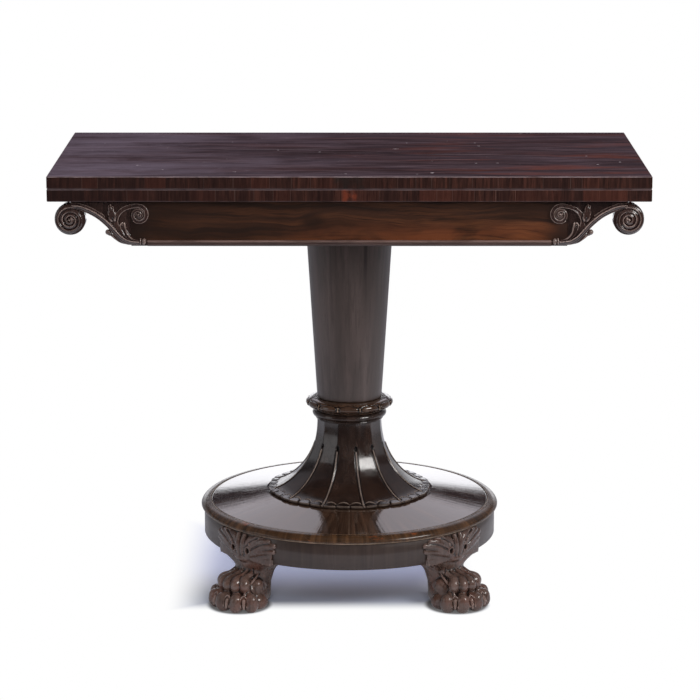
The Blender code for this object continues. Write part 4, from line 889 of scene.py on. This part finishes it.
# Half-round beads under the frieze
def bead(place):
    low, high = np.array(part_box("frieze_bead_" + place)) / MM
    size = high - low
    run = 0 if size[0] > size[1] else 1
    across = 1 - run
    back, deep = low[across], size[across]
    if place in ("front", "left"):
        back, deep = high[across], -deep
    section = [(0.0, 0.0), (BEAD_SEAT, 0.0)]
    section += [(BEAD_SEAT + (1.0 - BEAD_SEAT) * math.cos(a), 0.5 + 0.5 * math.sin(a))
                for a in np.radians(np.linspace(-80, 80, 17))]
    section += [(BEAD_SEAT, 1.0), (0.0, 1.0)]
    out, up = np.transpose(section)
    count = len(section)
    corners = np.zeros((BEAD_STEPS + 1, count, 3))
    corners[:, :, run] = np.linspace(low[run], high[run], BEAD_STEPS + 1)[:, None]
    corners[:, :, across] = back + out * deep
    corners[:, :, 2] = low[2] + up * size[2]
    faces = []
    for k in range(BEAD_STEPS):
        near, far = k * count, (k + 1) * count
        faces += [(near + j, near + (j + 1) % count, far + (j + 1) % count, far + j) for j in range(count)]
    faces += [tuple(range(count))[::-1], tuple(range(BEAD_STEPS * count, (BEAD_STEPS + 1) * count))]
    mesh = bpy.data.meshes.new("bead_" + place)
    mesh.from_pydata((MM * corners).reshape(-1, 3).tolist(), [], faces)
    mesh.validate()
    clean = bmesh.new()
    clean.from_mesh(mesh)
    bmesh.ops.recalc_face_normals(clean, faces=clean.faces)
    clean.to_mesh(mesh)
    clean.free()
    mesh.shade_smooth()
    show("bead_moulded_" + place, crease(mesh, 40), "frieze_bead_" + place)


# Materials; colours of three values are 0 to 255 as they show on a screen, and of four in linear light
def linear(colour):
    if not isinstance(colour, tuple) or len(colour) != 3:
        return colour
    c = np.array(colour) / 255.0
    return (*np.where(c <= 0.04045, c / 12.92, ((c + 0.055) / 1.055) ** 2.4), 1.0)


class Nodes:
    """A tree of nodes, with short calls for the kinds used here."""

    def __init__(self, tree):
        self.tree = tree

    def feed(self, socket, value):
        if isinstance(value, bpy.types.NodeSocket):
            self.tree.links.new(value, socket)
        else:
            socket.default_value = value

    def new(self, kind, inputs=(), **settings):
        """The outputs of a new node with these settings and inputs."""
        made = self.tree.nodes.new("ShaderNode" + kind)
        for name, value in settings.items():
            setattr(made, name, value)
        for key, value in dict(inputs).items():
            self.feed(made.inputs[key], value)
        return made.outputs

    def math(self, kind, first, *others):
        """One operation, or a row of them from the left."""
        for other in others or (0.0,):
            first = self.new("Math", {0: first, 1: other}, operation=kind)[0]
        return first

    def times(self, *values):
        return self.math("MULTIPLY", *values)

    def length(self, a, b):
        return self.math("SQRT", self.math("ADD", self.times(a, a), self.times(b, b)))

    def split(self, vector):
        return self.new("SeparateXYZ", {0: vector})

    def fade(self, value, low, high, first=0.0, last=1.0):
        """first below low, last above high, and smooth between."""
        inputs = {"Value": value, "From Min": low, "From Max": high, "To Min": first, "To Max": last}
        return self.new("MapRange", inputs, interpolation_type="SMOOTHSTEP")["Result"]

    def level(self, value, low, high, first=0.0, last=1.0):
        """A fade between two places in millimetres."""
        return self.fade(value, MM * low, MM * high, first, last)

    def ramp(self, value, *stops):
        colours = self.new("ValToRGB", {0: value})["Color"]
        marks = colours.node.color_ramp.elements
        while len(marks) < len(stops):
            marks.new(0.5)
        for mark, (spot, colour) in zip(marks, stops):
            mark.position = spot
            mark.color = linear(colour)
        return colours

    def mix(self, share, a, b):
        return self.new("Mix", {0: share, 6: linear(a), 7: linear(b)}, data_type="RGBA")[2]


class Paint(Nodes):
    """The nodes of one material of the table."""

    LINE_SCALE = (1.6, 3.4)
    PORE_SCALE = (9.0, 22.0)

    def __init__(self, name):
        self.material = bpy.data.materials.new(name)
        self.material.use_nodes = True
        super().__init__(self.material.node_tree)
        self.shader = self.tree.nodes["Principled BSDF"]
        self.coords = self.new("TexCoord")
        self.place = self.coords["Object"]

    def grain(self, scale, detail, rough, twist=0.0, move=(0.0, 0.0, 0.0), place=None):
        """Noise with a scale along each axis, or one for all three."""
        scale = tuple(np.broadcast_to(np.array(scale, float), 3).tolist())
        inputs = {"Vector": self.place if place is None else place, "Scale": scale, "Location": move}
        inputs = {"Vector": self.new("Mapping", inputs)[0], "Scale": 1.0, "Detail": detail,
                  "Roughness": rough, "Distortion": twist}
        return self.new("TexNoise", inputs)["Fac"]

    def timber(self, grain, colours, seed=0.0, place=None, lines=0.6, twist=0.8):
        """Colour and pores of a wood: broad bands, dark lines and fine pores along the grain."""
        dark, middle, light, line = colours
        move = (seed, seed * 1.7, seed * 2.3)
        long = np.arange(3) == np.argmin(grain)
        broad = self.grain(grain, 5.0, 0.58, twist, move, place)
        colour = self.ramp(broad, (0.32, dark), (0.50, middle), (0.68, light))
        streak = self.grain(grain * np.where(long, *self.LINE_SCALE), 3.0, 0.55, twist * 0.6, move, place)
        colour = self.mix(self.fade(streak, 0.52, 0.64, 0.0, lines), colour, line)
        pores = self.grain(grain * np.where(long, *self.PORE_SCALE), 2.0, 0.5, 0.0, move, place)
        pit = self.fade(pores, 0.57, 0.67)
        return self.mix(self.times(pit, 0.45), colour, line), pit

    def around(self):
        """Coordinates that run round the middle and out from it, and the way out and round."""
        x, y, _ = self.split(self.place)
        angle = self.math("ARCTAN2", y, x)
        out = self.length(x, y)
        inputs = {0: self.math("COSINE", angle), 1: self.math("SINE", angle), 2: out}
        return self.new("CombineXYZ", inputs)[0], out, angle

    def aside(self, angle, degrees):
        """How far an angle is from a fixed one, in radians."""
        return self.math("ABSOLUTE", self.math("SUBTRACT", angle, math.radians(degrees)))

    def bump(self, height, depth, strength):
        inputs = {"Strength": strength, "Distance": MM * depth, "Height": height}
        return self.new("Bump", inputs)[0]

    def finish(self, colour, rough, normal, **values):
        """The material, with these inputs of its shader."""
        values.update(Base_Color=colour, Roughness=rough, Normal=normal)
        for name, value in values.items():
            self.feed(self.shader.inputs[name.replace("_", " ")], value)
        return self.material


def leaf_wood(name, seed, worn, dust_and_sheen_amount, patch, patch_reach):
    """Veneer along the top, and bands of upright grain round the edges, with one patched block in front."""
    p = Paint(name)
    colours = (34, 23, 24), (54, 40, 42), (76, 60, 64), (25, 16, 17)
    top, top_pit = p.timber((5, 46, 46), colours, seed, lines=0.80, twist=0.9)
    x, y, _ = p.split(p.place)
    slope = p.split(p.coords["Normal"])[2]
    upward_dust_and_sheen = p.fade(slope, -0.2, 0.2, 0.15, dust_and_sheen_amount)
    warm = p.grain((4.5, 22, 22), 6.0, 0.65, 0.5, (seed, 3.0, 0.0))
    warm = p.times(p.fade(warm, 0.47, 0.70), p.level(x, -100, 350, 0.15, 0.85))
    top = p.mix(warm, top, (90, 48, 38))
    # Dust and painted sheen: pale clouds and smears on upward faces, stronger to the left, standing both
    # for dust and for the sheen of the polish
    cloud = p.grain((4, 13, 13), 8.0, 0.68, 0.4, (seed + 2.0, 0.0, 0.0))
    dust_and_sheen = p.times(p.fade(cloud, 0.28, 0.78, 0.12, 1.0), p.level(x, -460, 100, 0.72, 0.18), upward_dust_and_sheen)
    top = p.mix(dust_and_sheen, top, (120, 108, 122))
    smear = p.grain((20, 44, 44), 9.0, 0.78, 0.4, (seed + 7.0, 0.0, 0.0))
    smear = p.times(p.fade(smear, 0.58, 0.72), p.level(x, -460, 200, 0.55, 0.14), upward_dust_and_sheen)
    top = p.mix(smear, top, (134, 120, 132))
    fleck = p.grain((70, 90, 90), 2.0, 0.4, 0.0, (seed, 5.0, 0.0))
    top = p.mix(p.times(p.fade(fleck, 0.755, 0.80, 0.0, 0.85), upward_dust_and_sheen), top, (196, 186, 190))
    scratch = p.grain((3, 230, 1), 2.0, 0.4, 0.0, (0.0, seed, 0.0))
    top = p.mix(p.fade(scratch, 0.70, 0.75, 0.0, 0.34), top, (150, 138, 142))

    blocks = {"Scale": 30.0, "W": p.math("ADD", x, y, seed)}
    shade = p.split(p.new("TexVoronoi", blocks, voronoi_dimensions="1D")["Color"])
    joint = p.new("TexVoronoi", blocks, voronoi_dimensions="1D", feature="DISTANCE_TO_EDGE")["Distance"]
    colours = (40, 26, 24), (54, 35, 31), (74, 46, 39), (30, 19, 18)
    edge, edge_pit = p.timber((170, 170, 14), colours, seed, lines=0.6, twist=0.5)
    edge = p.mix(p.fade(shade[0], 0.30, 1.0, 0.0, 0.40), edge, (38, 27, 26))
    edge = p.mix(p.fade(shade[1], 0.60, 1.0, 0.0, 0.34), edge, (84, 46, 37))
    near = p.level(p.math("ABSOLUTE", x), patch_reach, patch_reach + 5, 0.70, 0.0)
    mottle = p.fade(p.grain((70, 1, 60), 5.0, 0.6), 0.40, 0.62, 0.15, 1.0)
    edge = p.mix(p.times(near, mottle, p.level(y, -100, 0, 1.0, 0.0)), edge, patch)
    edge = p.mix(p.level(x, -460, -50, 0.40, 0.0), edge, (36, 27, 27))
    seam = p.fade(joint, 0.006, 0.022, 0.30, 0.0)
    edge = p.mix(p.times(seam, p.fade(shade[2], 0.55, 0.80)), edge, (118, 98, 90))

    up = p.math("ABSOLUTE", slope)
    colour = p.mix(p.fade(up, 0.85, 0.95), edge, top)
    # Pale arrises, brighter on upward edges: rubbed wear and a painted highlight on the eased edges
    rub_and_sheen_noise = p.grain(30, 4.0, 0.6)
    arris_wear_and_highlight = p.times(p.fade(up, 0.10, 0.30), p.fade(up, 0.86, 0.96, 1.0, 0.0),
                    p.fade(slope, -0.2, 0.2, 0.22, worn), p.fade(rub_and_sheen_noise, 0.30, 0.62, 0.35, 1.0))
    colour = p.mix(arris_wear_and_highlight, colour, (142, 126, 128))
    rough = p.math("ADD", p.fade(dust_and_sheen, 0.0, 0.5, 0.52, 0.70), p.times(rub_and_sheen_noise, 0.10))
    normal = p.bump(p.math("ADD", top_pit, edge_pit), -0.08, 0.5)
    return p.finish(colour, rough, normal, Specular_IOR_Level=0.0)


def frieze_wood():
    """Figured veneer laid along the frieze, dark to the left and above, with a dark swirl in front."""
    p = Paint("frieze_rosewood")
    x, y, z = p.split(p.place)
    sway = p.grain((6, 6, 10), 3.0, 0.5)
    bent = p.new("CombineXYZ", {0: x, 1: y, 2: p.math("ADD", z, p.times(sway, 0.045))})[0]
    colours = (42, 25, 17), (68, 40, 26), (96, 57, 34), (28, 18, 14)
    colour, pit = p.timber((4.2, 4.2, 62), colours, 1.0, bent, lines=0.85, twist=1.1)
    shade = p.grain((7, 7, 20), 4.0, 0.55, 0.5, (5.0, 0.0, 0.0))
    glow = p.times(p.level(z, Z_FRIEZE + 14, Z_FRIEZE + 46, 0.55, 0.0), p.level(x, -160, -20),
                   p.fade(shade, 0.40, 0.62))
    colour = p.mix(glow, colour, (126, 66, 34))
    left = p.times(p.level(x, -300, 160, 1.0, 0.0), p.fade(shade, 0.30, 0.62, 0.95, 0.60))
    above = p.level(z, Z_FRIEZE + 34, Z_RAIL_TOP - 10, 0.0, 0.62)
    colour = p.mix(p.math("MAXIMUM", left, above), colour, (42, 28, 22))
    across = p.math("DIVIDE", p.math("ADD", x, 0.062), 0.034)
    over = p.math("DIVIDE", p.math("SUBTRACT", z, MM * (Z_FRIEZE + 40)), 0.020)
    swirl = p.math("ADD", p.length(across, over), p.times(sway, 1.2))
    colour = p.mix(p.fade(swirl, 0.9, 1.5, 0.75, 0.0), colour, (30, 20, 16))
    ends = p.level(p.math("ABSOLUTE", x), FRIEZE_END - 50, FRIEZE_END - 6, 0.0, 0.85)
    colour = p.mix(ends, colour, (36, 26, 23))
    rough = p.fade(shade, 0.3, 0.7, 0.32, 0.46)
    return p.finish(colour, rough, p.bump(pit, -0.06, 0.5), Specular_IOR_Level=0.25)


def bead_wood():
    """Painted highlight along the top of the half-round and painted shade along its foot."""
    p = Paint("bead_rosewood")
    colours = (56, 41, 38), (68, 51, 47), (82, 62, 57), (42, 30, 27)
    colour, pit = p.timber((6, 60, 60), colours, 3.5, lines=0.5, twist=0.5)
    z = p.split(p.place)[2]
    rub_and_sheen_noise = p.grain((14, 14, 60), 5.0, 0.6)
    # Painted highlight: a pale line along the top of the half-round
    line = p.times(p.level(z, Z_FRIEZE + 6, Z_FRIEZE + 7.8), p.fade(rub_and_sheen_noise, 0.30, 0.60, 0.25, 0.75))
    colour = p.mix(line, colour, (136, 111, 104))
    # Painted shade: darker along the foot of the half-round
    colour = p.mix(p.level(z, Z_FRIEZE + 0.6, Z_FRIEZE + 3, 0.55, 0.0), colour, (44, 31, 28))
    rough = p.fade(rub_and_sheen_noise, 0.3, 0.7, 0.28, 0.40)
    normal = p.bump(pit, -0.06, 0.5)
    return p.finish(colour, rough, normal, Specular_IOR_Level=0.5, Coat_Weight=0.2, Coat_Roughness=0.08)


def upright_wood(name, colours, grain, rough, coat, seed, streak=None):
    """Veneer with upright grain; a streak is its turn from +X in degrees, lower end and upper end."""
    p = Paint(name)
    colour, pit = p.timber(grain, colours, seed, lines=0.5, twist=0.5)
    haze = p.grain((9, 9, 5), 5.0, 0.6, 0.0, (seed, 0.0, 0.0))
    colour = p.mix(p.fade(haze, 0.45, 0.75, 0.0, 0.30), colour, colours[2])
    if streak is not None:
        turn, low, high = streak
        x, y, z = p.split(p.place)
        aside = p.aside(p.math("ARCTAN2", y, x), turn)
        aside = p.math("ADD", aside, p.times(p.math("SUBTRACT", haze, 0.5), 0.05))
        dark = p.times(p.fade(aside, 0.020, 0.060, 0.80, 0.0), p.level(z, low, high))
        colour = p.mix(dark, colour, (38, 28, 26))
    rough = p.fade(haze, 0.30, 0.72, rough, rough + 0.12)
    normal = p.bump(pit, -0.06, 0.5)
    return p.finish(colour, rough, normal, Specular_IOR_Level=0.5, Coat_Weight=coat, Coat_Roughness=0.08)


def board_wood():
    """Polished veneer with its grain running out from the middle, and one joint."""
    p = Paint("plinth_board_rosewood")
    place, _, angle = p.around()
    colours = (52, 36, 27), (70, 51, 40), (92, 67, 52), (36, 25, 20)
    colour, _ = p.timber((26, 26, 5), colours, 2.0, place, lines=0.7, twist=0.4)
    smear = p.grain(14, 4.0, 0.6)
    joint = p.fade(p.aside(angle, BOARD_JOINT), 0.002, 0.006, 0.45, 0.0)
    colour = p.mix(p.times(joint, p.fade(smear, 0.35, 0.55, 0.3, 1.0)), colour, (126, 104, 88))
    ripple = p.grain((46, 46, 5), 4.0, 0.6, 0.0, (1.0, 0.0, 0.0), place)
    normal = p.bump(ripple, 0.22, 0.6)
    return p.finish(colour, p.fade(smear, 0.3, 0.7, 0.05, 0.12), normal, Coat_Normal=normal,
                    Specular_IOR_Level=0.5, Coat_Weight=0.8, Coat_Roughness=0.03)


def rim_wood():
    """Crossbanded moulding, chipped to a brighter brown, with pale lines along its inner edge and its foot
    that are rubbed wear and painted highlight.
    """
    p = Paint("plinth_rim_rosewood")
    place, out, _ = p.around()
    colours = (48, 34, 23), (70, 49, 33), (94, 66, 44), (36, 24, 17)
    colour, _ = p.timber((24, 24, 10), colours, 3.0, place, lines=0.25, twist=0.6)
    chip = p.grain((22, 22, 60), 6.0, 0.70, 0.6, (4.0, 0.0, 0.0))
    colour = p.mix(p.fade(chip, 0.60, 0.68, 0.0, 0.80), colour, (128, 66, 32))
    # Pale lines at the seat on the board and at the foot: rubbed wear and painted highlight
    seat = p.level(out, BOARD_RADIUS + 1, BOARD_RADIUS + 2.2, 0.75, 0.0)
    foot = p.level(p.split(p.place)[2], Z_RIM + 1.8, Z_RIM + 3.4, 0.60, 0.0)
    worn = p.times(p.math("MAXIMUM", seat, foot), p.fade(chip, 0.35, 0.60, 0.35, 1.0))
    colour = p.mix(worn, colour, (150, 130, 112))
    return p.finish(colour, p.fade(chip, 0.3, 0.7, 0.18, 0.30), p.bump(chip, -0.1, 0.3),
                    Specular_IOR_Level=0.25, Coat_Weight=0.25, Coat_Roughness=0.06)


def carved_wood(name, colours, hollow, ridge, reach, rough, coat, level=0.5, painted_shade_above=None, flush=None):
    """Carved rosewood: painted shade in the hollows, pale where proud as rubbed wear and painted highlight,
    and darker above a given height as painted shade.

    flush is a warmer brown that shows in patches.
    """
    p = Paint(name)
    colour, pit = p.timber((30, 30, 10), colours, 4.0, lines=0.45, twist=0.8)
    proud = p.new("Attribute", attribute_name="relief")["Fac"]
    mottle = p.grain(60, 4.0, 0.6)
    if flush is not None:
        patch = p.grain(34, 3.0, 0.5, 0.0, (2.0, 0.0, 0.0))
        colour = p.mix(p.fade(patch, 0.46, 0.68, 0.0, 0.32), colour, flush)
    # Rubbed wear and painted highlight: pale where the carving stands proud
    rubbed_and_highlight = p.times(p.fade(proud, 0.25 * reach, 0.95 * reach), p.fade(mottle, 0.3, 0.6, 0.45, 0.9))
    colour = p.mix(rubbed_and_highlight, colour, ridge)
    # Painted shade: darker above a given height
    if painted_shade_above is not None:
        colour = p.mix(p.level(p.split(p.place)[2], painted_shade_above - 8, painted_shade_above + 4, 0.0, 0.38), colour, colours[3])
    # Painted shade: dark in the hollows of the carving
    colour = p.mix(p.fade(proud, -0.60 * reach, -0.06 * reach, 0.92, 0.0), colour, hollow)
    rough = p.fade(mottle, 0.3, 0.7, rough, rough + 0.16)
    normal = p.bump(p.math("ADD", pit, mottle), -0.16, 0.35)
    return p.finish(colour, rough, normal, Specular_IOR_Level=level, Coat_Weight=coat, Coat_Roughness=0.10)


def plain_wood():
    p = Paint("carcass_mahogany")
    colours = (92, 56, 38), (118, 74, 50), (142, 94, 66), (66, 38, 26)
    colour, pit = p.timber((4, 60, 60), colours, 5.0, lines=0.5, twist=0.4)
    age = p.grain(7, 5.0, 0.6)
    colour = p.mix(p.fade(age, 0.45, 0.72, 0.0, 0.5), colour, (70, 46, 34))
    rough = p.fade(age, 0.3, 0.7, 0.55, 0.72)
    return p.finish(colour, rough, p.bump(pit, -0.15, 0.6), Specular_IOR_Level=0.35)


def metal(name, bright, dull, rough):
    p = Paint(name)
    spots = p.grain(90, 6.0, 0.65)
    scuff = p.grain((400, 60, 400), 3.0, 0.5)
    colour = p.mix(p.fade(spots, 0.40, 0.66), bright, dull)
    rough = p.fade(spots, 0.3, 0.7, rough, rough + 0.25)
    return p.finish(colour, rough, p.bump(p.math("ADD", spots, scuff), 0.05, 0.4), Metallic=1.0)


def cloth():
    p = Paint("green_baize")
    nap = p.grain(1600, 4.0, 0.7)
    worn = p.grain(16, 4.0, 0.6)
    colour = p.ramp(nap, (0.30, (22, 52, 34)), (0.70, (48, 92, 62)))
    colour = p.mix(p.fade(worn, 0.50, 0.75, 0.0, 0.5), colour, (88, 104, 74))
    return p.finish(colour, 0.95, p.bump(nap, 0.3, 0.8), Sheen_Weight=0.4, Sheen_Roughness=0.5)


def paint(material, *objects):
    for obj in objects:
        obj.data.materials.clear()
        obj.data.materials.append(material)


def dress():
    """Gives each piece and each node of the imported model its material."""
    made = bpy.data.objects
    dark = (34, 24, 20), (44, 32, 27), (56, 42, 36), (24, 16, 14)
    satin = (65, 56, 53), (75, 64, 61), (86, 74, 71), (55, 46, 43)
    dull = (49, 38, 34), (55, 43, 38), (63, 50, 45), (40, 31, 28)
    carving = (70, 53, 46), (88, 68, 60), (105, 83, 75), (46, 33, 28)
    amber = (54, 38, 29), (74, 54, 42), (96, 72, 56), (40, 28, 21)
    red = (44, 30, 27), (58, 41, 37), (72, 53, 48), (32, 21, 19)
    band_wood = upright_wood("veneer_rosewood", dull, (80, 80, 7), 0.34, 0.35, 1.5)
    shaft_wood = upright_wood("column_rosewood", satin, (46, 46, 3), 0.30, 0.1, 0.5, COLUMN_STREAK)
    # The neck ring takes the dark colours as painted shade under the collar
    ring_painted_shade_wood = upright_wood("ring_rosewood", dark, (50, 50, 9), 0.16, 0.5, 2.5)
    # In the carved woods, the hollow colour is painted shade and the ridge colour is rubbed wear and
    # painted highlight
    socle_wood = carved_wood("socle_rosewood", dark, (14, 10, 9), (138, 122, 112), 0.75, 0.10, 0.5)
    collar_wood = carved_wood("collar_rosewood", amber, (18, 13, 11), (168, 146, 124), 0.9, 0.10, 0.80, 0.4)
    # The paw is painted darker above the lower edge of the plinth, as painted shade
    paw_wood = carved_wood("paw_rosewood", carving, (24, 17, 15), (132, 110, 102), 1.0, 0.20, 0.50,
                           painted_shade_above=Z_DRUM, flush=(112, 66, 52))
    bracket_wood = carved_wood("bracket_rosewood", red, (24, 16, 14), (168, 146, 138), 0.66, 0.12, 0.8)
    paint(shaft_wood, made["column_turned"])
    paint(ring_painted_shade_wood, made["neck_ring_turned"])
    paint(board_wood(), made["plinth_board_turned"])
    paint(rim_wood(), made["plinth_rim_turned"])
    paint(band_wood, made["plinth_band_turned"])
    paint(socle_wood, made["socle_carved"])
    paint(collar_wood, made["collar_carved"])
    paint(paw_wood, made["paw_carved_front_right"])
    paint(bracket_wood, made["bracket_carved_right"], made["bracket_carved_left"])
    paint(bead_wood(), *(made["bead_moulded_" + place] for place in ("front", "back", "left", "right")))

    by_slot = {"rosewood_veneer": frieze_wood(), "carved_rosewood": paw_wood,
               "carcass_mahogany": plain_wood(), "green_baize": cloth(),
               "brass_fittings": metal("aged_brass", (176, 142, 82), (98, 76, 44), 0.28),
               "iron_fittings": metal("dark_iron", (92, 88, 84), (56, 44, 38), 0.45)}
    for name, node in NODES.items():
        paint(by_slot[SLOT_OF[name]], node)
    paint(leaf_wood("upper_leaf_rosewood", 0.0, 0.85, 1.0, (40, 34, 32), 22), NODES["upper_leaf"])
    paint(leaf_wood("lower_leaf_rosewood", 3.3, 0.42, 0.15, (118, 57, 40), 9), NODES["lower_leaf"])


# Floor, light and camera
def lay_floor():
    """Pale paper; to the camera it is white away from the table, with painted shade round the feet and
    under the front of the table, and a painted bluish glow under its back.
    """
    corners = [(FLOOR_RADIUS * math.cos(a), FLOOR_BACK + FLOOR_RADIUS * math.sin(a), 0.0)
               for a in np.linspace(0.0, math.tau, 97)[:-1]]
    mesh = bpy.data.meshes.new("floor")
    mesh.from_pydata(corners, [], [tuple(range(len(corners)))])
    floor = bpy.data.objects.new("studio_floor", mesh)
    bpy.context.scene.collection.objects.link(floor)
    material = bpy.data.materials.new("white_floor")
    material.use_nodes = True
    mesh.materials.append(material)

    n = Nodes(material.node_tree)
    n.tree.nodes.clear()
    x, y, _ = n.split(n.new("TexCoord")["Object"])
    ahead = n.times(y, -1.0)
    seen = n.new("LightPath")["Is Camera Ray"]
    middle, *side = FLOOR_WHITE_SIDE
    side = n.fade(n.math("ABSOLUTE", n.math("SUBTRACT", x, middle)), *side)
    white = n.math("MAXIMUM", side, n.fade(ahead, *FLOOR_WHITE_FRONT), n.fade(y, *FLOOR_WHITE_BACK))
    reach = n.length(*(n.math("SUBTRACT", n.math("ABSOLUTE", axis), FOOT_PLACE)
                       for axis in (n.math("ADD", x, FOOT_SHADE_LEFT), y)))
    white = n.times(white, n.fade(reach, *FOOT_SHADE, FOOT_WHITE, 1.0))
    # Painted shade towards the front under the table, seen only by the camera
    front = n.times(n.fade(ahead, *FLOOR_FRONT_PAINTED_SHADE), seen)
    # Painted shadow round each foot, seen only by the camera
    painted_foot_shadow = n.times(n.fade(reach, *FOOT_SHADE, 1.0, 0.0), seen)
    colour = n.mix(painted_foot_shadow, n.mix(front, FLOOR_COLOUR, FLOOR_FRONT_PAINTED_SHADE_COLOUR), FOOT_SHADE_COLOUR)
    paper = n.new("BsdfDiffuse", {"Color": colour})
    # Painted light: the camera sees a bluish glow on the floor that grows towards the back
    strength = n.times(n.fade(y, *FLOOR_PAINTED_LIGHT), seen)
    painted_light = n.new("Emission", {"Color": FLOOR_PAINTED_LIGHT_COLOUR, "Strength": strength})
    shade = n.new("AddShader", {0: paper[0], 1: painted_light[0]})
    glow = n.new("Emission", {"Color": WHITE})
    both = n.new("MixShader", {0: n.times(white, seen), 1: shade[0], 2: glow[0]})
    n.new("OutputMaterial", {0: both[0]})


def room():
    """White to the camera; to the table, a dark front and a bright back with a dark gap."""
    world = bpy.data.worlds.new("white_studio")
    bpy.context.scene.world = world
    world.use_nodes = True
    n = Nodes(world.node_tree)
    n.tree.nodes.clear()
    x, y, z = n.split(n.new("TexCoord")["Generated"])
    lit = n.times(n.fade(y, *ROOM_TURN), n.fade(n.math("ABSOLUTE", x), *ROOM_SIDE))
    walls = n.new("Background", {"Color": n.mix(lit, ROOM_FRONT_COLOUR, n.ramp(z, *ROOM_BACK))})
    white = n.new("Background", {"Color": WHITE})
    both = n.new("MixShader", {0: n.new("LightPath")["Is Camera Ray"], 1: walls[0], 2: white[0]})
    n.new("OutputWorld", {0: both[0]})


def studio():
    scene = bpy.context.scene
    scene.view_settings.view_transform = "Standard"
    lay_floor()
    room()
    for name, place, aim, size, power, colour, gloss in LAMPS:
        lamp = bpy.data.lights.new(name, "AREA")
        lamp.shape = "RECTANGLE"
        lamp.size, lamp.size_y = size
        lamp.energy = power
        lamp.color = colour
        obj = bpy.data.objects.new(name, lamp)
        obj.location = place
        obj.rotation_euler = (Vector(aim) - Vector(place)).to_track_quat("-Z", "Y").to_euler()
        obj.visible_camera = False
        obj.visible_glossy = gloss
        scene.collection.objects.link(obj)

    lens = bpy.data.cameras.new("photo_camera")
    lens.lens = CAMERA_LENS
    lens.sensor_width = CAMERA_SENSOR
    lens.sensor_fit = "HORIZONTAL"
    camera = bpy.data.objects.new("photo_camera", lens)
    camera.location = CAMERA_PLACE
    camera.rotation_euler = (math.radians(90.0 - CAMERA_DOWN), 0.0, 0.0)
    scene.collection.objects.link(camera)
    scene.camera = camera


def main():
    column()
    ring()
    plinth()
    socle()
    collar()
    paws()
    brackets()
    for place in ("front", "back", "left", "right"):
        bead(place)
    dress()
    studio()


main()
